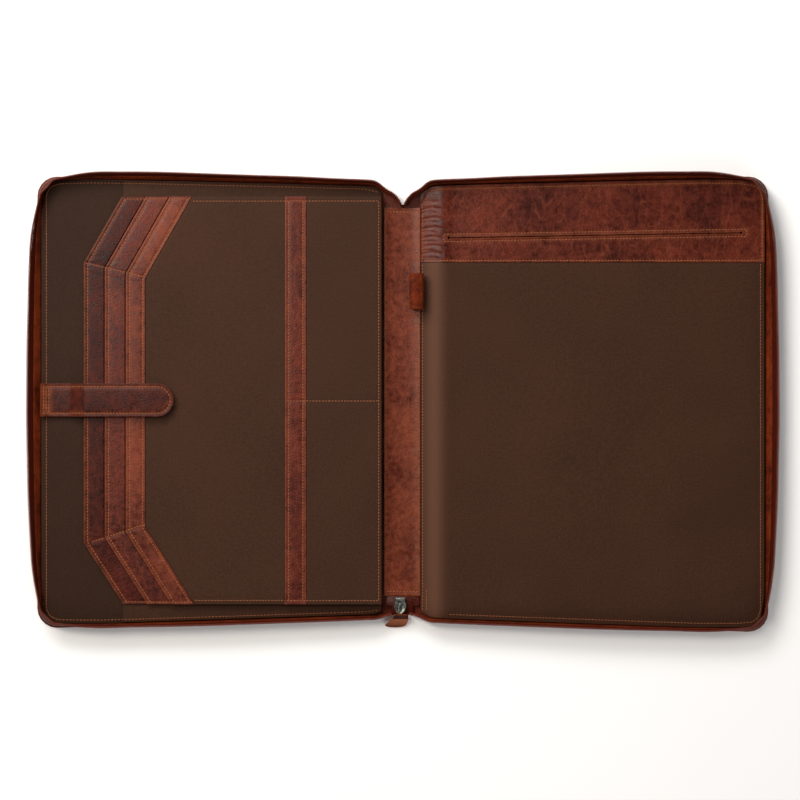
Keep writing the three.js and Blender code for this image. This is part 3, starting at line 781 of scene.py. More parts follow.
class NodeSurface:
    """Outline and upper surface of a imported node, in metres."""

    def __init__(self, node: str) -> None:
        """Reads the node's mesh.

        Args:
            node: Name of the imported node.
        """
        mesh = frame["nodes"][node].data
        self.low, self.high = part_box(node)
        self.points = np.array([vertex.co[:] for vertex in mesh.vertices])
        faces = [tuple(face.vertices) for face in mesh.polygons]
        self.tree = BVHTree.FromPolygons([tuple(point) for point in self.points], faces)

    def reach(self, end: int, beyond: float) -> Edge:
        """Upper or lower edge of the outline.

        Args:
            end: 1 for the upper edge and -1 for the lower.
            beyond: Only points further than this from the middle, in metres, are taken.

        Returns:
            A function from X to the Y of the edge.
        """
        edge: dict[float, float] = {}
        for x, y, _ in self.points:
            if y * end > beyond:
                key = round(float(x), 5)
                edge[key] = max(edge.get(key, -1.0), float(y) * end)
        places = sorted(edge)
        values = [edge[key] * end for key in places]
        return lambda x: float(np.interp(x, places, values))

    def height(self, x: float, y: float) -> float:
        """Height of the upper surface over a point, or of the nearest edge beside it.

        Args:
            x: X of the point in metres.
            y: Y of the point in metres.

        Returns:
            Z in metres.
        """
        hit, *_ = self.tree.ray_cast(Vector((x, y, ABOVE)), Vector((0, 0, -1)))
        if hit is None:
            hit, *_ = self.tree.find_nearest(Vector((x, y, self.high.z)))
        return hit.z


def line_distance(points: np.ndarray, line: Line) -> np.ndarray:
    """Distance of points from a line of straight stretches.

    Args:
        points: Points in the plane, in metres, one in each row.
        line: Corners of the line, in millimetres.

    Returns:
        Distance of each point, in metres.
    """
    best = np.full(len(points), 1.0)
    corners = np.array(line) * MM
    for start, stop in zip(corners, corners[1:]):
        run = stop - start
        share = np.clip((points - start) @ run / max(float(run @ run), 1e-12), 0, 1)
        gap = np.linalg.norm(points - start - share[:, None] * run, axis=1)
        best = np.minimum(best, gap)
    return best


def mark_wear(
    piece: Piece, edges: Sequence[Line], seams: Sequence[Line] = (), width: float = 1.2
) -> None:
    """Marks how much lighter a finished piece is drawn, fully along edges and half along seams: worn
    skin, and painted highlight where a tilted edge or roll catches the light.

    Args:
        piece: Finished leather piece.
        edges: Turned edges and lines of painted highlight, in millimetres.
        seams: Rows of stitching, in millimetres.
        width: How far the marking reaches from a line, in millimetres.
    """
    points = mesh_points(piece)
    wear = np.zeros(len(points))
    for line, most in [*((edge, 1.0) for edge in edges), *((seam, 0.5) for seam in seams)]:
        share = line_distance(points[:, :2], line) / (width * MM)
        wear = np.maximum(wear, most * np.exp(-(share**2)))
    layer = piece.data.attributes.new(WEAR_AND_HIGHLIGHT, "FLOAT", "POINT")
    layer.data.foreach_set("value", wear)


@dataclass
class Fold:
    """A groove or crease pressed into a soft sheet along a line."""

    line: Line
    depth: float = 0.22  # millimetres, less than nothing for a ridge
    width: float = 0.9

    def press(self, points: np.ndarray) -> np.ndarray:
        """Change of height at points of the plane, in metres."""
        share = line_distance(points, self.line) / (self.width * MM)
        return -self.depth * MM * np.exp(-(share**2))


def press_folds(piece: Piece, folds: Sequence[Fold]) -> None:
    """Moves the points of an open sheet down into its folds.

    Args:
        piece: The sheet, before it has its thickness.
        folds: Grooves, creases and ridges.
    """
    points = mesh_points(piece)
    for fold in folds:
        points[:, 2] += fold.press(points[:, :2])
    piece.data.vertices.foreach_set("co", points.ravel())
    piece.data.update()


def between(low: float, high: float) -> Callable[[float], Point]:
    """Two edges of a sheet that stay where they are along it."""
    return lambda along: (low, high)


@dataclass
class SoftSheet:
    """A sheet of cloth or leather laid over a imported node, with its seams pressed in."""

    name: str
    node: str
    across: Callable[[float], Point]  # share up the sheet to its left and right X
    upright: Callable[[float], Point]  # X to its lower and upper Y
    thickness: float  # millimetres
    pitch: float = 3.0
    flat: bool = True
    folds: list[Fold] = field(default_factory=list)
    easing: float = 0.3

    def place(self, share_x: float, share_y: float) -> Point:
        """Plan position of a point of the sheet.

        Args:
            share_x: Share of the way across the sheet, from the left.
            share_y: Share of the way up it.

        Returns:
            X and Y in metres.
        """
        left, right = self.across(share_y)
        x = mix(left, right, share_x)
        low, high = self.upright(x)
        return x, mix(low, high, share_y)

    def build(self) -> Piece:
        """Lays a grid over the node, presses the folds in and gives it its thickness.

        Returns:
            The closed sheet.
        """
        surface = NodeSurface(self.node)
        left, right = self.across(0.5)
        low, high = self.upright((left + right) / 2)
        columns = max(6, round((right - left) / (self.pitch * MM)))
        rows = max(6, round((high - low) / (self.pitch * MM)))
        middle = Vector(((left + right) / 2, (low + high) / 2))

        def lay(share_x: float, share_y: float) -> Vector:
            """Point of the upper surface.

            Args:
                share_x: Share of the way across the sheet, from the left.
                share_y: Share of the way up it.

            Returns:
                The point in metres.
            """
            x, y = self.place(share_x, share_y)
            if self.flat:
                return Vector((x, y, surface.high.z + swell(x, y)))
            pull = 0.4 * MM
            inner_x = x + math.copysign(pull, middle.x - x)
            inner_y = y + math.copysign(pull, middle.y - y)
            return Vector((x, y, surface.height(inner_x, inner_y) + swell(x, y)))

        piece = lay_grid(self.name, columns, rows, lay)
        press_folds(piece, self.folds)
        finish_with(piece, "SOLIDIFY", thickness=self.thickness * MM, offset=-1.0)
        ease_edges(piece, self.easing * MM, angle=60)
        return piece


@dataclass(frozen=True)
class Stitching:
    """Rows of lockstitch, drawn stitch by stitch on the surfaces that they hold together."""

    length: float = 1.75  # millimetres
    thick: float = 0.66
    pitch: float = STITCH_PITCH

    @cache
    def master(self) -> Piece:
        """Models one stitch: a short round thread whose ends dive into the holes.

        Returns:
            The stitch, along X, kept out of the render.
        """
        bpy.ops.object.select_all(action="DESELECT")
        bpy.ops.mesh.primitive_cylinder_add(
            vertices=6, radius=self.thick / 2 * MM, depth=0.5 * self.length * MM,
            rotation=(0, math.pi / 2, 0))
        stitch = bpy.context.active_object
        stitch.name = "stitch_master"
        bpy.ops.object.transform_apply(location=True, rotation=True, scale=True)
        steps = ((0.15, -0.12, 0.85), (0.1, -0.26, 0.6))
        for end in (-1, 1):
            pick_faces(stitch, lambda middle, normal, end=end: normal.x * end > 0.9)
            with editing(stitch):
                for run, drop, size in steps:
                    bpy.ops.mesh.extrude_region_move(TRANSFORM_OT_translate={
                        "value": (end * run * self.length * MM, 0, drop * self.thick * MM)})
                    bpy.ops.transform.resize(value=(1, size, size))
        smooth(stitch, 60)
        stitch.hide_render = True
        return stitch

    def sew(self, name: str, runs: Sequence[Line], cloth: Sequence[Piece]) -> Piece:
        """Sets stitches along runs, each dropped on to the cloth under it.

        Args:
            name: Name of the joined stitches.
            runs: Lines of the stitching, in millimetres.
            cloth: Pieces that the stitches lie on.

        Returns:
            All the stitches as one piece, with its finish and body.
        """
        graph = bpy.context.evaluated_depsgraph_get()
        trees = [BVHTree.FromObject(piece, graph) for piece in cloth]

        def drop(x: float, y: float) -> float | None:
            """Height of the highest cloth under a point, or None."""
            hits = [tree.ray_cast(Vector((x, y, ABOVE)), Vector((0, 0, -1)))[0] for tree in trees]
            return max((hit.z for hit in hits if hit is not None), default=None)

        master = self.master()
        stitches = []
        for run in runs:
            for start, stop in zip(run, run[1:]):
                ends = Vector(start), Vector(stop)
                way = ends[1] - ends[0]
                count = max(1, round(way.length / self.pitch))
                step = way / count
                heading = way.normalized()
                half = heading * self.length / 2 * MM
                for number in range(count):
                    spot = (ends[0] + step * (number + 0.5)) * MM
                    back = drop(*(spot - half))
                    front = drop(*(spot + half))
                    if back is None or front is None:
                        continue
                    along = Vector((2 * half.x, 2 * half.y, front - back)).normalized()
                    aside = Vector((-heading.y, heading.x, 0))
                    up = along.cross(aside)
                    turn = Matrix((along, aside, up)).transposed().to_4x4()
                    rise = (back + front) / 2 + 0.12 * self.thick * MM
                    stitch = bpy.data.objects.new(name, master.data.copy())
                    stitch.data.transform(Matrix.Translation((spot.x, spot.y, rise)) @ turn)
                    bpy.context.scene.collection.objects.link(stitch)
                    stitches.append(stitch)
        return hand_over(join(stitches, name), THREAD)


@dataclass(frozen=True)
class Notch:
    """Lower notch between the halves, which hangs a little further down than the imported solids."""

    drop: float = 1.8  # millimetres
    full: float = 13.0  # half width that hangs fully
    free: float = 27.0  # half width at which it has stopped
    upper: float = -150.0
    lower: float = -156.0

    def draw_down(self, piece: Piece) -> None:
        """Moves the part of a piece that lies round the notch down.

        Args:
            piece: Finished piece that passes the notch.
        """
        for vertex in piece.data.vertices:
            x, y = vertex.co.x / MM, vertex.co.y / MM
            across = min(1.0, max(0.0, (self.free - abs(x)) / (self.free - self.full)))
            down = min(1.0, max(0.0, (self.upper - y) / (self.upper - self.lower)))
            ease = across * across * (3 - 2 * across)
            vertex.co.y -= self.drop * MM * ease * down


@dataclass
class CoverShell:
    """The outer cover of both halves and the spine, cut from one hide."""

    easing: float = 0.45

    def build(self) -> None:
        """Rounds the cut edges of the cover."""
        shell = copy_of("outer_cover", "cover_shell")
        ease_edges(shell, self.easing * MM, segments=3, angle=30)
        Notch().draw_down(shell)
        hand_over(shell, LEATHER, Slot.LEATHER, ["outer_cover"])


@dataclass
class ZipEdge:
    """The standing edge of one half: leather gusset, woven tape and coil, in millimetres."""

    side: Side
    tooth_pitch: float = 1.55
    tooth_width: float = 0.95
    tooth_length: float = 2.9
    tooth_thickness: float = 1.9
    loop_radius: float = 0.75  # of the round turn that is pulled to those sizes
    loop_wire: float = 0.3
    head_width: float = 1.25  # times the rest of the turn
    head_thickness: float = 1.12
    core_radius: float = 0.5
    core_back: float = 0.4  # from the middle of a turn towards the tape
    core_sides: int = 6
    overlap: float = 0.55  # how far the coil is drawn on to the tape
    section: float = 1.8  # points of a coil section lie closer together than this
    stretch: float = 0.7  # length of a stretch of the coil's line

    def build(self) -> None:
        """Builds the gusset, the tape and the coil of this half."""
        label = self.side.label
        gusset = self.band(f"gusset_{label}", f"leather_gusset_{label}", 0.45)
        hand_over(gusset, LIT_WALL_LEATHER, Slot.LEATHER, [f"gusset_{label}"])
        tape = self.band(f"zip_tape_{label}", f"woven_tape_{label}", 0.2)
        hand_over(tape, TAPE, Slot.TAPE, [f"zip_tape_{label}"])
        hand_over(self.coil(), COIL, Slot.COIL, [f"zip_coil_{label}"])

    def band(self, node: str, name: str, easing: float) -> Piece:
        """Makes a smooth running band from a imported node.

        Args:
            node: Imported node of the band.
            name: Name of the new piece.
            easing: Rounding of its edges in millimetres.

        Returns:
            The band.
        """
        piece = copy_of(node, name)
        with editing(piece, whole=True):
            bpy.ops.mesh.quads_convert_to_tris()
            bpy.ops.mesh.tris_convert_to_quads(face_threshold=math.radians(50),
                                               shape_threshold=math.radians(60))
            bpy.context.tool_settings.mesh_select_mode = (False, True, False)
            bpy.ops.mesh.select_all(action="DESELECT")
            bpy.ops.mesh.edges_select_sharp(sharpness=math.radians(50))
            bpy.ops.transform.edge_crease(value=1)
        finish_with(piece, "SUBSURF", levels=2, render_levels=2)
        ease_edges(piece, easing * MM, angle=50)
        Notch().draw_down(piece)
        return piece

    def rings(self) -> list[Vector]:
        """Middles of the coil's sections, in order from the top notch.

        Returns:
            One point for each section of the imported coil.
        """
        mesh = frame["nodes"][f"zip_coil_{self.side.label}"].data
        points = sorted({tuple(round(value, 6) for value in vertex.co) for vertex in mesh.vertices})
        groups: list[list[Vector]] = []
        left = [Vector(point) for point in points]
        while left:
            group = [left.pop()]
            for member in group:
                near = [point for point in left if (point - member).length < self.section * MM]
                group.extend(near)
                left = [point for point in left if point not in near]
            groups.append(group)
        middles = [sum(group, Vector()) / len(group) for group in groups]
        here = min((point for point in middles if point.y > 0), key=lambda point: abs(point.x))
        chain = [here]
        middles.remove(here)
        while middles:
            here = min(middles, key=lambda point: (point - here).length)
            middles.remove(here)
            chain.append(here)
        return chain

    def track(self) -> list[tuple[Vector, Vector, Vector]]:
        """Places of the teeth along the coil.

        Returns:
            For each tooth its middle, the heading of the coil and the way up its slope.
        """
        chain = self.rings()
        tape = NodeSurface(f"zip_tape_{self.side.label}").tree
        fine: list[Vector] = []
        for number in range(len(chain) - 1):
            before = chain[max(0, number - 1)]
            start, stop = chain[number], chain[number + 1]
            after = chain[min(len(chain) - 1, number + 2)]
            span = (stop - start).length
            lead = (stop - before).normalized() * span
            trail = (after - start).normalized() * span
            steps = max(2, round(span / (self.stretch * MM)))
            for step in range(steps):
                t = step / steps
                fine.append(
                    (2 * t**3 - 3 * t**2 + 1) * start + (t**3 - 2 * t**2 + t) * lead
                    + (3 * t**2 - 2 * t**3) * stop + (t**3 - t**2) * trail)
        fine.append(chain[-1])
        places = []
        travelled, wanted = 0.0, 0.5 * self.tooth_pitch * MM
        for start, stop in zip(fine, fine[1:]):
            stretch = (stop - start).length
            while stretch and travelled + stretch >= wanted:
                middle = start.lerp(stop, (wanted - travelled) / stretch)
                foot, *_ = tape.find_nearest(middle)
                heading = (stop - start).normalized()
                slope = middle - foot
                slope = (slope - heading * slope.dot(heading)).normalized()
                places.append((middle - slope * self.overlap * MM, heading, slope))
                wanted += self.tooth_pitch * MM
            travelled += stretch
        return places

    def tooth(self) -> Piece:
        """Models one turn of the coil: a flattened loop with a wider head.

        Returns:
            The turn, with its head along X and the coil's heading along Y.
        """
        bpy.ops.object.select_all(action="DESELECT")
        bpy.ops.mesh.primitive_torus_add(
            major_segments=10, minor_segments=5, major_radius=self.loop_radius * MM,
            minor_radius=self.loop_wire * MM, rotation=(math.pi / 2, 0, 0))
        turn = bpy.context.active_object
        bpy.ops.object.transform_apply(location=True, rotation=True, scale=True)
        across = 2 * (self.loop_radius + self.loop_wire)
        with editing(turn, whole=True):
            bpy.ops.transform.resize(value=(self.tooth_length / across,
                                            self.tooth_width / (2 * self.loop_wire),
                                            self.tooth_thickness / across))
        pick_faces(turn, lambda middle, normal: middle.x > 0.8 * MM)
        with editing(turn):
            bpy.ops.transform.resize(value=(1, self.head_width, self.head_thickness))
        smooth(turn, 80)
        return turn

    def coil(self) -> Piece:
        """Lays the turns of the coil round its core.

        Returns:
            The coil of this half.
        """
        turn = self.tooth()
        places = self.track()
        turns = []
        for middle, heading, slope in places:
            facing = Matrix((slope, heading, slope.cross(heading))).transposed().to_4x4()
            copy = bpy.data.objects.new("turn", turn.data.copy())
            copy.data.transform(Matrix.Translation(middle) @ facing)
            bpy.context.scene.collection.objects.link(copy)
            turns.append(copy)
        bpy.data.objects.remove(turn)

        def around(share_round: float, share_along: float) -> Vector:
            """Point of the core's surface.

            Args:
                share_round: Share of the way round the core.
                share_along: Share of the way along the coil.

            Returns:
                The point in metres.
            """
            middle, heading, slope = places[round(share_along * (len(places) - 1))]
            angle = share_round * 2 * math.pi
            out = slope * math.cos(angle) + slope.cross(heading) * math.sin(angle)
            return middle + out * self.core_radius * MM - slope * self.core_back * MM

        core = lay_grid("core", self.core_sides, len(places) - 1, around)
        face_outward(core)
        with editing(core, whole=True):
            bpy.ops.mesh.fill_holes(sides=self.core_sides)
        face_outward(core)
        smooth(core, 60)
        coil = join([*turns, core], f"nylon_coil_{self.side.label}")
        Notch().draw_down(coil)
        return coil


@dataclass
class ZipPull:
    """Slider with its bail and leather pull, and the webs that close the zip, in millimetres."""

    dimple: float = 0.5
    rim: float = 1.1
    lug: tuple[float, float, float] = (2.0, 6.4, 1.5)
    lug_back: float = 1.2  # from the middle of the slider towards the pull
    lug_sunk: float = 0.5
    bail_ring: float = 1.0  # radius of the ring before it is drawn out
    bail_corners: float = 0.6  # 1 leaves the bail oval, less makes it squarer
    bridge_left: float = -8.3
    bridge_right: float = 8.0
    bridge_low: float = -160.4
    bridge_high: float = -153.6
    bridge_top: float = 4.7
    bridge_sag: float = 0.5
    bridge_thickness: float = 1.4

    def build(self) -> None:
        """Builds the ends of the zip and the slider."""
        web = copy_of("zip_end_bottom", "lower_web")
        ease_edges(web, 0.35 * MM)
        hand_over(web, DARK_LEATHER, Slot.DARK_LEATHER, ["zip_end_bottom"])
        hand_over(self.bridge(), TAPE, Slot.TAPE)
        stop = copy_of("zip_end_top", "upper_stop")
        ease_edges(stop, 0.3 * MM)
        hand_over(stop, TAPE, Slot.TAPE, ["zip_end_top"])
        hand_over(self.slider(), NICKEL, Slot.NICKEL, ["slider_body"])
        hand_over(self.bail(), NICKEL, Slot.NICKEL, ["slider_bail"])
        hand_over(self.pull(), PULL_LEATHER, Slot.DARK_LEATHER, ["pull_tab"])

    def bridge(self) -> Piece:
        """Lays the joined tape ends under the slider, down to the pull.

        Returns:
            The tape between the two halves.
        """
        def lay(share_x: float, share_y: float) -> Vector:
            """Point of the tape's upper surface, sagging between the halves.

            Args:
                share_x: Share of the way across the bridge, from the left.
                share_y: Share of the way up it.

            Returns:
                The point in metres.
            """
            x = mix(self.bridge_left, self.bridge_right, share_x)
            y = mix(self.bridge_low, self.bridge_high, share_y)
            sag = self.bridge_sag * math.sin(math.pi * share_x) * (1 - share_y)
            return Vector((x * MM, y * MM, (self.bridge_top - sag) * MM))

        bridge = lay_grid("tape_bridge", 12, 8, lay)
        face_up(bridge)
        finish_with(bridge, "SOLIDIFY", thickness=self.bridge_thickness * MM, offset=-1.0)
        ease_edges(bridge, 0.3 * MM, angle=60)
        return bridge

    def slider(self) -> Piece:
        """Presses a dimple into the slider and adds the lug that holds the bail.

        Returns:
            The slider.
        """
        body = copy_of("slider_body", "slider_plate")
        low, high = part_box("slider_body")
        pick_faces(body, lambda middle, normal: normal.z > 0.9 and middle.z > high.z - 0.1 * MM)
        with editing(body):
            bpy.ops.mesh.inset(thickness=self.rim * MM, depth=0)
            bpy.ops.transform.translate(value=(0, 0, -self.dimple * MM))
            bpy.ops.mesh.inset(thickness=0.5 * MM, depth=0)
            bpy.ops.transform.translate(value=(0, 0, -0.4 * self.dimple * MM))
        ease_edges(body, 0.28 * MM, segments=3, angle=25)
        centre = (low + high) / 2
        bpy.ops.object.select_all(action="DESELECT")
        bpy.ops.mesh.primitive_cube_add(size=1)
        lug = bpy.context.active_object
        with editing(lug):
            bpy.ops.transform.resize(value=tuple(size * MM for size in self.lug))
            bpy.ops.transform.translate(value=(centre.x, centre.y - self.lug_back * MM,
                                               high.z - self.lug_sunk * MM))
        pick_faces(lug, lambda middle, normal: normal.z > 0.9)
        with editing(lug):
            bpy.ops.mesh.inset(thickness=0.35 * MM, depth=0)
            bpy.ops.transform.translate(value=(0, 0, 0.35 * MM))
        ease_edges(lug, 0.25 * MM, segments=3, angle=25)
        return join([body, lug], "slider_plate")

    def bail(self) -> Piece:
        """Bends a ring of wire into the bail.

        Returns:
            The bail.
        """
        low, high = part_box("slider_bail")
        middle = (low + high) / 2
        wire = (high.z - low.z) / 2
        bpy.ops.object.select_all(action="DESELECT")
        bpy.ops.mesh.primitive_torus_add(major_segments=32, minor_segments=12,
                                         major_radius=self.bail_ring * MM, minor_radius=wire)
        bail = bpy.context.active_object
        bail.name = "wire_bail"
        reach = (high - low) / 2

        def squared(value: float) -> float:
            """Pushes a share of the ring's reach out towards its corners."""
            return math.copysign(abs(value) ** self.bail_corners, value)

        for vertex in bail.data.vertices:
            flat = Vector((vertex.co.x, vertex.co.y))
            way = flat.normalized()
            lift = flat.length - self.bail_ring * MM
            vertex.co.x = middle.x + squared(way.x) * (reach.x - wire) + way.x * lift
            vertex.co.y = middle.y + squared(way.y) * (reach.y - wire) + way.y * lift
            vertex.co.z = middle.z + vertex.co.z
        face_outward(bail)
        smooth(bail, 60)
        return bail

    def pull(self) -> Piece:
        """Softens the leather pull that hangs from the bail.

        Returns:
            The pull.
        """
        pull = copy_of("pull_tab", "leather_pull")
        with editing(pull, whole=True):
            bpy.ops.mesh.quads_convert_to_tris()
            bpy.ops.mesh.tris_convert_to_quads(face_threshold=math.radians(60),
                                               shape_threshold=math.radians(60))
        finish_with(pull, "BEVEL", width=0.4 * MM, segments=2, limit_method="ANGLE",
                    angle_limit=math.radians(50), use_clamp_overlap=True)
        finish_with(pull, "SUBSURF", levels=2, render_levels=2)
        smooth(pull, 60)
        return pull


@dataclass
class Linings:
    """Lined boards of both halves and the wide document pocket, with sizes in millimetres."""

    board: float = 2.0  # thickness of a lined board
    cloth: float = 1.0
    stitch_side: float = 3.7  # seam in from the outer edge
    stitch_end: float = 2.3
    corner: float = 8.0  # how far up and down the seam turns its corners
    beyond: float = 0.1  # metres: points nearer the middle are no part of an upper or lower edge

    def build(self) -> None:
        """Builds the boards, the document pocket and the border seam of the left half."""
        seams = self.border(NodeSurface("lining_left"))
        folds = [Fold(seam) for seam in seams]
        board = self.lay("left_board_lining", "lining_left", SHADED_BOARD_LINING, ["cover_shell"],
                         thickness=self.board, pitch=3.2, folds=folds, easing=0.5)
        pocket = self.lay("document_pocket_cloth", "document_pocket", LINING, [board],
                          thickness=self.cloth, pitch=3.2, folds=folds)
        self.lay("right_board_lining", "lining_right", LINING, ["cover_shell"],
                 thickness=self.board, pitch=4.0, easing=0.5)
        Stitching().sew("border_stitches_left", seams, [board, pocket])

    def lay(
        self, name: str, node: str, finish: Finish, under: Sequence[str | Piece], **sheet: object
    ) -> Piece:
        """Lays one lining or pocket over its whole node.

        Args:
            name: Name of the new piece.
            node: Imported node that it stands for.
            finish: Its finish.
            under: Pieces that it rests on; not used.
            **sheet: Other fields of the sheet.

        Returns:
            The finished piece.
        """
        whole = NodeSurface(node)
        upper, lower = whole.reach(1, self.beyond), whole.reach(-1, self.beyond)
        piece = SoftSheet(name, node, between(whole.low.x, whole.high.x),
                          lambda x: (lower(x), upper(x)), **sheet).build()
        hand_over(piece, finish, Slot.LINING, [node])
        return piece

    def border(self, node: NodeSurface) -> list[Line]:
        """Border seam of the left half, along three of its sides.

        Args:
            node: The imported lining.

        Returns:
            One line down from the upper right, along the side and back below.
        """
        upper, lower = node.reach(1, self.beyond), node.reach(-1, self.beyond)
        side = node.low.x / MM + self.stitch_side
        xs = [float(value) for value in np.linspace(node.high.x / MM - 1, side + 9, 24)]
        above = [(x, upper(x * MM) / MM - self.stitch_end) for x in xs]
        below = [(x, lower(x * MM) / MM + self.stitch_end) for x in reversed(xs)]
        top, foot = above[-1][1], below[0][1]
        turns = [(side + 3, top - 2.5), (side, top - self.corner),
                 (side, foot + self.corner), (side + 3, foot + 2.5)]
        return [[*above, *turns, *below]]


@dataclass
class SteppedPockets:
    """Three stepped pockets of cloth with leather trims, sewn down together.

    Sizes are in millimetres. The knees are the two corners of each trim's outer edge.
    """

    width: float = 14.6
    lap: float = 0.7  # how much wider the first two trims are, up to the next trim
    end_run: float = 28.6
    end_height_top: float = 49.7
    end_height_bottom: float = 45.9
    knee_rise: float = 4.1
    end_spread: float = 2.2
    foot_shift: float = 1.2
    stitch_inset: float = 2.9
    inner_inset: float = 2.0
    end_stitch: float = 1.6
    top_hem: float = 3.4
    foot_hem: float = 2.9
    leather: float = 1.2  # thickness
    cloth: float = 1.0
    pillow: float = 0.14  # rise of a trim along its middle
    cuts: tuple[Finish, ...] = (DARK_LEATHER, LEATHER, LIGHT_LEATHER)
    mitre_upper: tuple[Point, Point] = ((-239.2, 105.3), (-195.4, 94.8))
    mitre_lower: tuple[Point, Point] = ((-234.6, -105.3), (-193.8, -91.7))

    def edge(self, pocket: int, inward: float) -> Line:
        """Left edge of a pocket: upright between two knees, slanted above and below.

        Args:
            pocket: Number of the pocket, from the outermost.
            inward: How far the line lies towards the spine, square to each stretch.

        Returns:
            Four corners from the top down, in millimetres.
        """
        low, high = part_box(f"pocket_trim_{pocket + 1}")
        knee = low.x / MM

        def half(reach: float, end_height: float, shift: float) -> Line:
            """End and knee of one half of the edge.

            Args:
                reach: How far from the middle the half ends.
                end_height: Height of the slanted end of the first pocket.
                shift: How much longer its run is than that of the upper half.

            Returns:
                The end and the knee, with their Y counted from the middle outward.
            """
            knee_y = reach - end_height - pocket * self.knee_rise
            run = self.end_run + pocket * self.end_spread + shift
            slant = math.atan2(run, reach - knee_y)
            return [(knee + run + inward / math.cos(slant), reach),
                    (knee + inward, knee_y - inward * math.tan(slant / 2))]

        upper = half(high.y / MM, self.end_height_top, 0)
        lower = half(-low.y / MM, self.end_height_bottom, self.foot_shift)
        return [*upper, *((x, -y) for x, y in reversed(lower))]

    def full_width(self, pocket: int) -> float:
        """Width of a trim with its lap, in millimetres."""
        return self.width + (self.lap if pocket < 2 else 0.0)

    def seams(self, pocket: int) -> list[Line]:
        """Rows of stitching on one trim.

        Args:
            pocket: Number of the pocket, from the outermost.

        Returns:
            The row along the outer edge, and on the last trim one along its inner edge.
        """
        inset = self.end_stitch
        rows = [self.edge(pocket, self.stitch_inset)]
        if pocket == 2:
            rows.append(self.edge(pocket, self.width - self.inner_inset))
        for row in rows:
            (x0, y0), (x1, y1) = row[0], row[1]
            row[0] = (x0 + (x1 - x0) * inset / (y0 - y1), y0 - inset)
            (x3, y3), (x2, y2) = row[3], row[2]
            row[3] = (x3 + (x2 - x3) * inset / (y2 - y3), y3 + inset)
        return rows

    def ends(self) -> list[Line]:
        """Rows of stitching across the ends of the trims, and over the mitres.

        Returns:
            The upper row, the lower row and one row for each mitre.
        """
        low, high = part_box("pocket_trim_1")
        first, last = self.edge(0, 0), self.edge(2, self.width)
        top = high.y / MM - self.end_stitch
        foot = low.y / MM + self.end_stitch
        return [
            [(first[0][0] + 1, top), (last[0][0] - 1, top)],
            [(first[3][0] + 1, foot), (last[3][0] - 1, foot)],
            list(self.mitre_upper),
            list(self.mitre_lower),
        ]

    def border(self) -> list[Line]:
        """Rows of stitching round the cloth of the pocket stack.

        Returns:
            The rows along the top, down the right side and along the foot.
        """
        low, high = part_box("pocket_panel_3")
        right = high.x / MM - self.inner_inset
        last = self.edge(2, self.width)
        top, foot = high.y / MM - self.top_hem, low.y / MM + self.foot_hem
        return [[(last[0][0] - 2, top), (right, top)],
                [(right, top), (right, foot)],
                [(right, foot), (last[3][0] - 2, foot)]]

    def build(self) -> list[Piece]:
        """Builds panels, trims and their stitching.

        Returns:
            The cloth that the side pocket is sewn on to.
        """
        ends, border = self.ends(), self.border()
        trims, panels, rows = [], [], []
        for pocket in range(3):
            seams = self.seams(pocket)
            trims.append(self.trim(pocket, [*seams, *ends]))
            panels.append(self.panel(pocket, border))
            rows += seams
        Stitching().sew("trim_stitches", [*rows, *ends], trims)
        return panels

    def trim(self, pocket: int, seams: list[Line]) -> Piece:
        """Builds one leather trim.

        Args:
            pocket: Number of the pocket, from the outermost.
            seams: Rows of stitching that are pressed into it.

        Returns:
            The trim.
        """
        name = f"pocket_trim_{pocket + 1}"
        outer, inner = self.edge(pocket, 0), self.edge(pocket, self.full_width(pocket))
        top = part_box(name)[1].z
        lengths = [math.dist(a, b) for a, b in zip(outer, outer[1:])]
        stops = np.cumsum([0, *lengths]) / sum(lengths)

        def lay(share_across: float, share_along: float) -> Vector:
            """Point of the trim's upper surface.

            Args:
                share_across: Share of the way from the outer edge to the inner.
                share_along: Share of the way from the top to the foot.

            Returns:
                The point in metres.
            """
            part = min(2, int(np.searchsorted(stops, share_along, side="right")) - 1)
            t = (share_along - stops[part]) / (stops[part + 1] - stops[part])
            begin = [mix(outer[part][axis], outer[part + 1][axis], t) for axis in (0, 1)]
            end = [mix(inner[part][axis], inner[part + 1][axis], t) for axis in (0, 1)]
            x = mix(begin[0], end[0], share_across) * MM
            y = mix(begin[1], end[1], share_across) * MM
            pillow = self.pillow * MM * math.sin(math.pi * share_across)
            return Vector((x, y, top + swell(x, y) + pillow))

        piece = lay_grid(f"leather_trim_{pocket + 1}", 18, 280, lay)
        folds = [Fold(seam, depth=0.28, width=0.8) for seam in seams]
        folds += self.creases(pocket)
        press_folds(piece, folds)
        face_up(piece)
        finish_with(piece, "SOLIDIFY", thickness=self.leather * MM, offset=-1.0)
        ease_edges(piece, 0.4 * MM, segments=3, angle=60)
        mark_wear(piece, [outer], seams)
        return hand_over(piece, self.cuts[pocket], Slot.LEATHER, [name])

    def creases(self, pocket: int) -> list[Fold]:
        """Fine creases where the strip was turned at its knees.

        Args:
            pocket: Number of the pocket, from the outermost.

        Returns:
            Four creases at each knee.
        """
        edge = self.edge(pocket, self.width / 2)
        folds = []
        for number, (x, y) in enumerate(edge[1:3]):
            for step in range(4):
                shift = (step - 1.5) * 4.1 + pocket
                tilt = 1.8 - step * 0.9 if number == 0 else step * 0.9 - 1.8
                folds.append(Fold([(x - 6, y + shift + tilt), (x + 6, y + shift - tilt)],
                                  depth=0.12, width=0.7))
        return folds

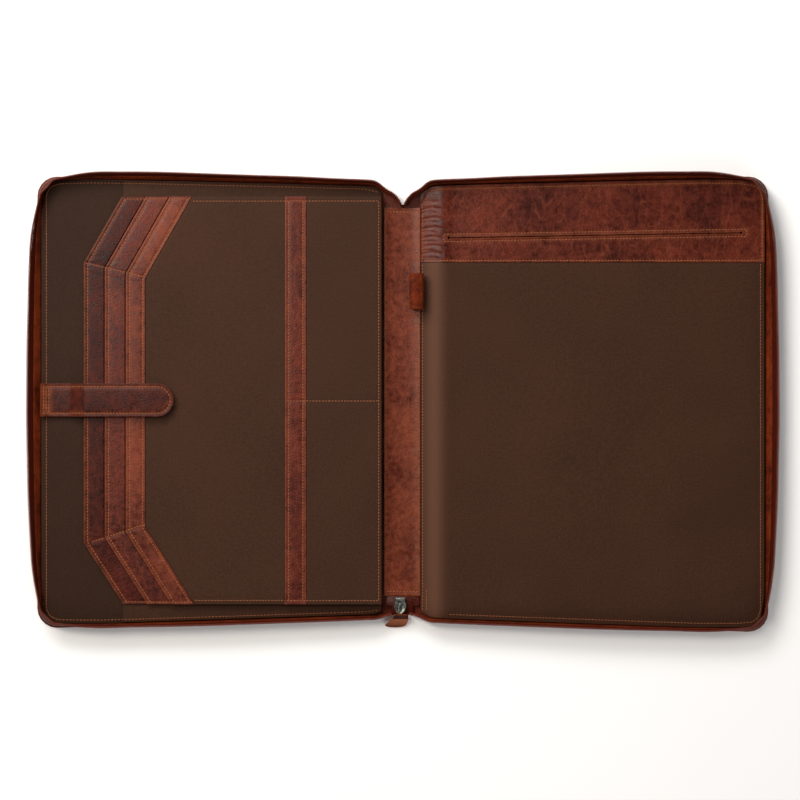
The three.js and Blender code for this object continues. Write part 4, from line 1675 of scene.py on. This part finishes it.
    def panel(self, pocket: int, seams: list[Line]) -> Piece:
        """Builds the cloth of one pocket.

        Args:
            pocket: Number of the pocket, from the outermost.
            seams: Rows of stitching that are pressed into it.

        Returns:
            The cloth.
        """
        node = f"pocket_panel_{pocket + 1}"
        low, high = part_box(node)
        edge = [(x * MM, y * MM) for x, y in reversed(self.edge(pocket, self.full_width(pocket) + 0.3))]
        ys, xs = [y for _, y in edge], [x for x, _ in edge]

        def across(share: float) -> Point:
            """Left and right X at a share of the height."""
            return float(np.interp(mix(low.y, high.y, share), ys, xs)), high.x

        cloth = SoftSheet(f"pocket_cloth_{pocket + 1}", node, across, between(low.y, high.y),
                          thickness=self.cloth, pitch=2.6, folds=[Fold(seam) for seam in seams],
                          easing=0.25).build()
        hand_over(cloth, LINING, Slot.LINING, [node])
        areas = [(high.x - x) for x in np.interp(np.linspace(low.y, high.y, 60), ys, xs)]
        return cloth


@dataclass
class SidePocket:
    """Leather strip and cloth pocket beside the spine, with sizes in millimetres."""

    seam_inset: float = 2.6
    top_hem: float = 3.4
    foot_hem: float = 2.9
    divider: float = 1.1  # Y of the seam that divides the pocket
    leather: float = 1.2  # thickness
    cloth: float = 1.0

    def build(self, under: Sequence[Piece], border: list[Line]) -> None:
        """Builds the strip, the pocket and their stitching.

        Args:
            under: Cloth that the border seam also lies on.
            border: Border seam of the pocket stack.
        """
        low, high = (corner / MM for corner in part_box("side_strip"))
        foot, top = low.y + self.foot_hem, high.y - self.top_hem
        seams = [[(x, foot), (x, top)]
                 for x in (low.x + self.seam_inset, high.x - self.seam_inset)]
        ends = [[(low.x + 0.5, y), (high.x - 0.5, y)] for y in (foot, top)]
        cross = [[(low.x + 1, self.divider), (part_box("side_pocket")[1].x / MM - 2, self.divider)]]
        strip = SoftSheet(
            "side_strip_leather", "side_strip", between(low.x * MM, high.x * MM),
            between(low.y * MM, high.y * MM), thickness=self.leather, pitch=1.2,
            folds=[Fold(seam, depth=0.28, width=0.8) for seam in [*seams, *ends, *cross]]).build()
        edges = [[(x, low.y), (x, high.y)] for x in (low.x, high.x)]
        mark_wear(strip, edges, [*seams, *ends])
        hand_over(strip, LEATHER, Slot.LEATHER, ["side_strip"])
        near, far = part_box("side_pocket")
        pocket = SoftSheet(
            "side_pocket_cloth", "side_pocket", between(near.x, far.x),
            between(near.y, far.y), thickness=self.cloth, pitch=1.8,
            folds=[Fold(seam) for seam in [*border, *cross]], easing=0.25).build()
        hand_over(pocket, LINING, Slot.LINING, ["side_pocket"])
        Stitching().sew("side_pocket_stitches", [*seams, *cross, *border], [strip, pocket, *under])


@dataclass
class ClosingStrap:
    """Strap that closes over the pockets on a hidden snap, sewn to the left board.

    Sizes are in millimetres.
    """

    columns: int = 84
    rows: int = 22
    tip_share: float = 0.999  # the grid stops just short of the tip, so its last faces keep a width
    thickness: float = 2.5
    crown: float = 0.16
    seam_inset: float = 2.5
    seam_start: float = 1.2
    end_rows: tuple[float, ...] = (1.7, 3.6, 5.5)
    snap_rim: float = 1.8
    snap_hollow: float = 0.3
    snap_socket: float = 1.0

    def outline(self) -> tuple[float, float, float, float]:
        """Left end, tip, middle line and half width, in millimetres."""
        low, high = (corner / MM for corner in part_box("strap_tab"))
        return low.x, high.x, (low.y + high.y) / 2, (high.y - low.y) / 2

    def seams(self) -> list[Line]:
        """Edge seam round the strap, and the rows that hold its sewn end.

        Returns:
            The edge seam first, then the rows.
        """
        left, tip, middle, half = self.outline()
        inner = half - self.seam_inset
        centre = tip - half
        bend = [(centre + inner * math.sin(angle), middle + inner * math.cos(angle))
                for angle in np.linspace(0, math.pi, 13)]
        rows = [[(left + step, middle - inner), (left + step, middle + inner)]
                for step in self.end_rows]
        start = left + self.seam_start
        return [[(start, middle + inner), *bend, (start, middle - inner)], *rows]

    def build(self) -> None:
        """Builds the strap, its snap and its stitching."""
        left, tip, middle, half = self.outline()
        surface = NodeSurface("strap_tab")
        length = tip - left
        round_share = half / length

        def lay(share_x: float, share_y: float) -> Vector:
            """Point of the strap's upper surface, read a little in from its edge.

            Args:
                share_x: Share of the way from the sewn end to the tip, eased towards the tip.
                share_y: Share of the way up the strap.

            Returns:
                The point in metres.
            """
            share = self.tip_share * math.sin(share_x * math.pi / 2)
            x = left + share * length
            past = max(0.0, (share - (1 - round_share)) / round_share)
            reach = half * math.sqrt(max(0.0, 1 - past**2))
            offset = (2 * share_y - 1) * reach
            y = middle + offset
            shrink = min(1.0, max(0.0, reach - 1.2) / max(reach, 0.01))
            inner = min(x, tip - 1.0)
            top = surface.height(inner * MM, (middle + offset * shrink) * MM)
            crown = self.crown * MM * (1 - (offset / half) ** 2)
            return Vector((x * MM, y * MM, top + crown + swell(x * MM, y * MM)))

        piece = lay_grid("closing_strap", self.columns, self.rows, lay)
        folds = [Fold(seam, depth=0.35, width=0.9) for seam in self.seams()]
        press_folds(piece, folds)
        face_up(piece)
        finish_with(piece, "SOLIDIFY", thickness=self.thickness * MM, offset=-1.0)
        ease_edges(piece, 0.6 * MM, segments=3, angle=60)
        mark_wear(piece, self.seams()[1:], self.seams()[:1], 2.2)
        hand_over(piece, DARK_LEATHER, Slot.LEATHER, ["strap_tab"])
        Stitching().sew("strap_stitches", self.seams(), [piece])
        hand_over(self.snap(), NICKEL, Slot.NICKEL, ["strap_snap"])

    def snap(self) -> Piece:
        """Turns the snap under the strap: a rimmed disc with a raised socket.

        Returns:
            The snap.
        """
        low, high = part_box("strap_snap")
        middle = (low + high) / 2
        bpy.ops.object.select_all(action="DESELECT")
        bpy.ops.mesh.primitive_cylinder_add(vertices=40, radius=(high.x - low.x) / 2,
                                            depth=0.45 * (high.z - low.z))
        snap = bpy.context.active_object
        snap.name = "spring_snap"
        with editing(snap):
            bpy.ops.transform.translate(
                value=(middle.x, middle.y, low.z + 0.225 * (high.z - low.z) + swell(middle.x, middle.y)))
        pick_faces(snap, lambda spot, normal: normal.z > 0.9)
        with editing(snap):
            bpy.ops.mesh.inset(thickness=self.snap_rim * MM, depth=0)
            bpy.ops.transform.translate(value=(0, 0, -self.snap_hollow * MM))
            bpy.ops.mesh.inset(thickness=0.8 * MM, depth=0)
            bpy.ops.mesh.extrude_region_move(TRANSFORM_OT_translate={
                "value": (0, 0, self.snap_socket * MM)})
            bpy.ops.mesh.inset(thickness=1.0 * MM, depth=0)
            bpy.ops.transform.translate(value=(0, 0, -0.4 * MM))
        ease_edges(snap, 0.15 * MM, segments=2, angle=30)
        return snap


@dataclass
class Spine:
    """Leather strip down the spine with its pen loop, with sizes in millimetres."""

    leather: float = 1.6  # thickness
    end_hem: float = 3.0
    foot_hem: float = 3.2
    creases: tuple[Point, ...] = (  # Y of each crease, and how far it leans
        (128, 2.5), (109, -3), (62, 2), (18, -2), (-37, 3), (-84, -2), (-118, 2))
    loop_wall: float = 1.4
    hem: float = 3.0

    def build(self) -> None:
        """Builds the strip, the loop and their stitching."""
        low, high = (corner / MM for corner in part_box("spine_strip"))
        rows = [[(low.x + 1.2, y), (high.x - 1.0, y)]
                for y in (high.y - self.end_hem, low.y + self.foot_hem)]
        creases = [Fold([(low.x + 2, y), (high.x - 2, y + lean)], depth=0.16, width=1.2)
                   for y, lean in self.creases]
        hollow = Fold([(-0.5, low.y), (-0.5, high.y)], depth=0.35, width=9)
        strip = SoftSheet(
            "spine_leather", "spine_strip", between(low.x * MM, high.x * MM),
            between(low.y * MM, high.y * MM), thickness=self.leather, pitch=1.5, flat=False,
            folds=[*(Fold(row, depth=0.25, width=0.8) for row in rows), *creases, hollow],
            easing=0.4).build()
        # Painted highlight: both side edges, and a band along the right one, are drawn lighter where the
        # strip tilts toward the light; the foot edge and the rows are worn skin.
        painted_highlight_lines = [[(x, low.y), (x, high.y)] for x in (low.x, high.x - 0.8, high.x - 2)]
        mark_wear(strip, [*painted_highlight_lines, [(low.x, low.y), (high.x, low.y)]], rows, 1.8)
        hand_over(strip, LIGHT_LEATHER, Slot.LEATHER, ["spine_strip"])
        Stitching().sew("spine_stitches", rows, [strip])
        hand_over(self.loop(), LIT_WALL_LEATHER, Slot.LEATHER, ["pen_loop"])

    def loop(self) -> Piece:
        """Rolls the pen loop: an oval ring of leather with turned hems.

        Returns:
            The loop.
        """
        low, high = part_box("pen_loop")
        middle, reach = (low + high) / 2, (high - low) / 2

        def roll(share_round: float, share_along: float) -> Vector:
            """Point of the loop's outer surface.

            Args:
                share_round: Share of the way round the loop.
                share_along: Share of the way along it.

            Returns:
                The point in metres.
            """
            angle = share_round * 2 * math.pi
            along = mix(low.y, high.y, share_along)
            from_end = min(along - low.y, high.y - along) / MM
            hem = 0.3 * MM * math.exp(-(((from_end - self.hem) / 0.5) ** 2))
            belly = 0.2 * MM * math.cos(share_along * 2 * math.pi)
            width, height = reach.x - hem - belly - 0.2 * MM, reach.z - hem - 0.1 * MM
            cosine, sine = math.cos(angle), math.sin(angle)
            x = middle.x + math.copysign(abs(cosine) ** 0.75, cosine) * width
            z = middle.z + math.copysign(abs(sine) ** 0.75, sine) * height
            return Vector((x, along, z))

        loop = lay_grid("pen_loop_leather", 48, 40, roll)
        face_outward(loop)
        finish_with(loop, "SOLIDIFY", thickness=self.loop_wall * MM, offset=-1.0)
        ease_edges(loop, 0.4 * MM, segments=3, angle=60)
        return loop


@dataclass
class PadPocket:
    """Cloth panel and leather header over the right board, with a long welted slit.

    Sizes and places are in millimetres.
    """

    slit_start: Point = (34.9, 124.2)
    slit_end: Point = (255.4, 128.0)
    slit_width: float = 0.9
    hole_radius: float = 1.15
    seam_side: float = 2.8
    header_seam_side: float = 1.6
    seam_gap: float = 2.7  # rows beside the slit, from its middle line
    slit_margin: float = 4.2  # from the slit's ends to the rows beyond them
    side_rows: Point = (1.4, 4.2)  # rows of the panel, in from its left edge
    foot_hem: float = 3.0
    top_hem: float = 2.6
    cloth: float = 1.1  # thickness
    leather: float = 1.5
    roll_height: float = 0.9
    roll_width: float = 5.5
    crest: float = 9.5  # painted highlight: the lighter line along the roll, in from the left edge
    crest_width: float = 7.5
    rows_below: int = 26  # rows of faces of the header on each side of its slit
    rows_above: int = 56
    slit_clear: float = 3.0  # heights are read this far from the slit, or further
    hole_columns: float = 1.3  # reach of the closer columns round each end hole
    header_creases: tuple[tuple[float, float, float, float], ...] = (  # Y, length, bend and depth
        (109, 14, 0.5, 0.25), (112.4, 17, 0.9, 0.4), (114.6, 9, 0.6, 0.3),
        (117.8, 18, 1.1, 0.42), (121.5, 12, 0.4, 0.3), (124.2, 17, 1.3, 0.42),
        (128.6, 10, 0.8, 0.34), (131.2, 19, 1.2, 0.45), (136.1, 13, 0.5, 0.3),
        (138.4, 20, 1.4, 0.45), (143.3, 11, 0.7, 0.34), (146, 18, 1.1, 0.4),
        (151.5, 12, 0.6, 0.3))

    def outline(self) -> tuple[Edge, Edge, float, float]:
        """Upper edge of the header, lower edge of the panel, and their left and right X."""
        header, panel = NodeSurface("pad_header"), NodeSurface("pad_panel")
        return header.reach(1, 0.145), panel.reach(-1, 0.1), panel.low.x, panel.high.x

    def build(self) -> None:
        """Builds the panel, the header and their stitching."""
        upper, lower, left, right = self.outline()
        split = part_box("pad_panel")[1].y
        side = right / MM - self.seam_side
        first, second = (left / MM + row for row in self.side_rows)
        xs = [float(value) for value in np.linspace(first, side - 6, 26)]
        foot_row = [(x, lower(x * MM) / MM + self.foot_hem) for x in xs]
        corner = [(side - 2, foot_row[-1][1] + 3), (side, foot_row[-1][1] + 9)]
        foot = lower(left) / MM + 1.0
        seams = [
            [(first, split / MM - 1), (first, foot)],
            [(second, foot + 16), (second, foot)],
            [*foot_row[2:], *corner, (side, split / MM - 0.5)],
        ]
        roll = self.roll((left / MM + 15.5, -158), (left / MM + 16.8, 108))
        panel = SoftSheet(
            "pad_pocket_cloth", "pad_panel", between(left, right),
            lambda x: (lower(x), split), thickness=self.cloth, pitch=3.0, flat=False,
            folds=[*(Fold(seam, depth=0.35, width=1.0) for seam in seams), roll],
            easing=0.3).build()
        # Painted highlight: the cloth along the top of the roll is drawn lighter, standing for the light
        # that the roll catches.
        crest = [(left / MM + self.crest, -166), (left / MM + self.crest, 107)]
        mark_wear(panel, [crest], width=self.crest_width)
        hand_over(panel, LINING, Slot.LINING, ["pad_panel"])
        header = self.header(upper, left, right)
        Stitching().sew("pad_panel_stitches", seams, [panel])
        Stitching().sew("header_stitches", self.header_seams(upper, left, right), [header])

    def roll(self, foot: Point, top: Point) -> Fold:
        """The low ridge from which cloth and leather roll down to the spine."""
        return Fold([foot, top], depth=-self.roll_height, width=self.roll_width)

    def slit_height(self, x: float) -> float:
        """Y of the slit's middle line at an X, both in millimetres."""
        (x0, y0), (x1, y1) = self.slit_start, self.slit_end
        return y0 + (y1 - y0) * (x - x0) / (x1 - x0)

    def header_seams(self, upper: Edge, left: float, right: float) -> list[Line]:
        """Rows of stitching on the header.

        Args:
            upper: Its upper edge.
            left: Its left X in metres.
            right: Its right X in metres.

        Returns:
            The border rows and the closed row round the slit.
        """
        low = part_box("pad_header")[0].y / MM
        side = right / MM - self.header_seam_side
        xs = [float(value) for value in np.linspace(left / MM + 7, side - 7, 26)]
        top = [(x, upper(x * MM) / MM - self.top_hem) for x in xs]
        start, stop = self.slit_start[0] - self.slit_margin, self.slit_end[0] + self.slit_margin
        around = [(x, self.slit_height(x) + aside * self.seam_gap)
                  for x, aside in ((start, -1), (stop, -1), (stop, 1), (start, 1), (start, -1))]
        return [
            [*top, (side - 2, top[-1][1] - 3), (side, top[-1][1] - 9), (side, low + 1)],
            [(left / MM + 2, low + 1.2), (side, low + 1.2)],
            [(left / MM + 1.6, low + 2), (left / MM + 1.6, top[0][1] - 9), top[0]],
            around,
        ]

    def header(self, upper: Edge, left: float, right: float) -> Piece:
        """Builds the header: a band of leather, slit and welted along its middle.

        Args:
            upper: Its upper edge.
            left: Its left X in metres.
            right: Its right X in metres.

        Returns:
            The header.
        """
        surface = NodeSurface("pad_header")
        low = surface.low.y
        places = self.columns(left / MM, right / MM)
        below, above = self.rows_below, self.rows_above
        rows = below + 1 + above

        def lay(share_x: float, share_y: float) -> Vector:
            """Point of the header's upper surface, with one row of faces in the slit.

            Args:
                share_x: Share of the columns, from the left.
                share_y: Share of the rows, from below.

            Returns:
                The point in metres.
            """
            x = places[round(share_x * (len(places) - 1))]
            row = round(share_y * rows)
            middle, half = self.slit_height(x), self.half_opening(x)
            top = upper(x * MM) / MM
            if row <= below:
                y = mix(low / MM, middle - half, row / below)
            else:
                y = mix(middle + half, top, (row - below - 1) / above)
            inner_x = min(max(x, left / MM + 0.4), right / MM - 0.4)
            level = self.level(surface, inner_x, y)
            return Vector((x * MM, y * MM, level + swell(x * MM, y * MM)))

        piece = lay_grid("header_leather", len(places) - 1, rows, lay)
        (x0, _), (x1, _) = self.slit_start, self.slit_end
        reach = self.hole_radius
        pick_faces(piece, lambda spot, normal: (
            abs(spot.y / MM - self.slit_height(spot.x / MM)) < 0.35
            and x0 - reach < spot.x / MM < x1 + reach
            and self.half_opening(spot.x / MM) > 0.2))
        with editing(piece):
            bpy.ops.mesh.delete(type="FACE")
        seams = self.header_seams(upper, left, right)
        folds = [Fold(seam, depth=0.3, width=0.8) for seam in seams[:3]]
        folds.append(Fold(seams[3], depth=0.26, width=0.8))
        lips = [(x0, self.slit_start[1]), (x1, self.slit_end[1])]
        folds.append(Fold(lips, depth=-0.3, width=1.6))
        folds.append(self.roll((left / MM + 16.8, 104), (left / MM + 16.0, 158)))
        folds += self.creases(left / MM)
        press_folds(piece, folds)
        face_up(piece)
        finish_with(piece, "SOLIDIFY", thickness=self.leather * MM, offset=-1.0)
        ease_edges(piece, 0.25 * MM, angle=60)
        mark_wear(piece, [lips, seams[0]], seams[1:], 1.5)
        return hand_over(piece, LEATHER, Slot.LEATHER, ["pad_header"])

    def level(self, surface: NodeSurface, x: float, y: float) -> float:
        """Height of the header's top, read clear of the slit and the edges.

        Args:
            surface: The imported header.
            x: X of the point.
            y: Y of the point.

        Returns:
            Z in metres.
        """
        aside = y - self.slit_height(x)
        if abs(aside) < self.slit_clear:
            read = self.slit_height(x) + math.copysign(self.slit_clear, aside)
        else:
            read = min(max(y, surface.low.y / MM + 0.5), surface.high.y / MM - 8)
        return surface.height(x * MM, read * MM)

    def columns(self, left: float, right: float) -> list[float]:
        """Places the columns of the header, closer together at the slit's end holes.

        Args:
            left: Its left X.
            right: Its right X.

        Returns:
            X of each column.
        """
        places = set(np.round(np.linspace(left, right, 150), 3).tolist())
        near = self.hole_columns
        for end in (self.slit_start[0], self.slit_end[0]):
            places = {x for x in places if abs(x - end) > near + 0.6}
            places |= set(np.round(np.linspace(end - near, end + near, 14), 3).tolist())
        return sorted(places)

    def half_opening(self, x: float) -> float:
        """Half width of the opening: the slit, widened to a round hole at each end.

        Args:
            x: X at which it is asked for.

        Returns:
            Half the width, or next to nothing beside the slit.
        """
        (x0, _), (x1, _) = self.slit_start, self.slit_end
        opening = self.slit_width / 2 if x0 <= x <= x1 else 0.0
        for end in (x0, x1):
            inside = self.hole_radius**2 - (x - end) ** 2
            opening = max(opening, math.sqrt(inside) if inside > 0 else 0.0)
        return max(opening, 0.02)

    def creases(self, left: float) -> list[Fold]:
        """Creases where the header is drawn down to the spine, and a few long ones over it.

        Args:
            left: Left X of the header.

        Returns:
            All the creases.
        """
        near = [Fold([(left + 2, y), (left + run / 2, y + lean), (left + run, y - lean / 2)],
                     depth=deep, width=1.0)
                for y, run, lean, deep in self.header_creases]
        far = [Fold(line, depth=0.12, width=1.1) for line in (
            [(60, 140), (95, 146), (120, 143)], [(150, 150), (190, 141), (215, 145)],
            [(80, 114), (120, 110), (150, 113)], [(200, 112), (240, 117)], [(228, 160), (250, 148)])]
        return near + far


@dataclass(frozen=True)
class SoftBox:
    """A soft box light that faces the case, with its place and size in metres."""

    name: str
    spot: tuple[float, float, float]
    width: float
    depth: float
    power: float  # watts
    colour: str = "#ffffff"

    def hang(self) -> None:
        """Adds the light to the scene."""
        box = bpy.data.lights.new(self.name, "AREA")
        box.shape = "RECTANGLE"
        box.size, box.size_y = self.width, self.depth
        box.energy = self.power
        box.color = linear(self.colour)[:3]
        lamp = bpy.data.objects.new(self.name, box)
        lamp.location = self.spot
        lamp.rotation_euler = (-Vector(self.spot)).to_track_quat("-Z", "Y").to_euler()
        bpy.context.scene.collection.objects.link(lamp)


@dataclass
class Studio:
    """Pale floor, soft lights and the camera straight above, in metres."""

    camera_height: float = 1.9
    field_width: float = 0.604  # metres across the picture at the height of the linings
    field_height: float = 0.005
    centre: Point = (-0.00208, 0.00189)
    sensor: float = 36.0  # millimetres
    wall_light: float = 0.5
    ceiling_light: float = 0.05
    floor_size: float = 8.0
    floor_gap: float = 0.02 * MM
    boxes: tuple[SoftBox, ...] = (
        SoftBox("key", (-0.45, 0.85, 0.8), width=0.9, depth=0.45, power=12.5),
        SoftBox("strip", (-0.68, 0.42, 1.42), width=0.3, depth=0.9, power=13.5, colour="#fff6ec"),
        SoftBox("fill", (0.6, -1.4, 1.1), width=1.6, depth=0.9, power=7.5),
    )

    def build(self) -> None:
        """Builds the floor, the lights and the camera."""
        self.floor()
        for box in self.boxes:
            box.hang()
        self.surroundings()
        bpy.context.scene.view_settings.view_transform = "Standard"
        self.camera()

    def surroundings(self) -> None:
        """Surrounds the case with pale walls under a dark ceiling, so level faces keep their depth."""
        world = bpy.data.worlds.new("studio_air")
        bpy.context.scene.world = world
        world.use_nodes = True
        tree = world.node_tree
        tree.nodes.clear()
        way = add_node(tree, "TexCoord").outputs["Generated"]
        height = add_node(tree, "SeparateXYZ", {"Vector": way})
        wall = add_node(tree, "MapRange",
                        {"Value": height.outputs["Z"], "From Min": 0.6, "From Max": 0.9,
                         "To Min": self.wall_light, "To Max": self.ceiling_light},
                        interpolation_type="SMOOTHSTEP")
        air = add_node(tree, "Background",
                       {"Color": linear("#ffffff"), "Strength": wall.outputs["Result"]})
        add_node(tree, "OutputWorld", {"Surface": air.outputs[0]})

    def floor(self) -> None:
        """Lays a wide floor that stops just under the case."""
        bpy.ops.object.select_all(action="DESELECT")
        bpy.ops.mesh.primitive_plane_add(size=self.floor_size, location=(0, 0, -self.floor_gap))
        floor = bpy.context.active_object
        floor.name = "floor"
        bpy.ops.object.transform_apply(location=True, rotation=True, scale=True)
        floor.data.materials.append(FLOOR.material())

    def camera(self) -> None:
        """Sets the camera straight above, with the photograph's field."""
        lens = bpy.data.cameras.new("camera")
        lens.sensor_width = self.sensor
        lens.lens = self.sensor * (self.camera_height - self.field_height) / self.field_width
        lens.clip_start, lens.clip_end = 0.05, 20.0
        eye = bpy.data.objects.new("camera", lens)
        eye.location = (*self.centre, self.camera_height)
        bpy.context.scene.collection.objects.link(eye)
        bpy.context.scene.camera = eye


def main() -> None:
    """Builds the studio and each sub-assembly in order."""
    logging.basicConfig(level=logging.INFO, format="%(message)s")
    Studio().build()
    CoverShell().build()
    for side in Side:
        ZipEdge(side).build()
    ZipPull().build()
    Linings().build()
    pockets = SteppedPockets()
    cloth = pockets.build()
    SidePocket().build(cloth, pockets.border())
    ClosingStrap().build()
    Spine().build()
    PadPocket().build()
    for master in [piece for piece in bpy.data.objects if piece.name.startswith("stitch_master")]:
        bpy.data.objects.remove(master)


if __name__ == "__main__":
    main()
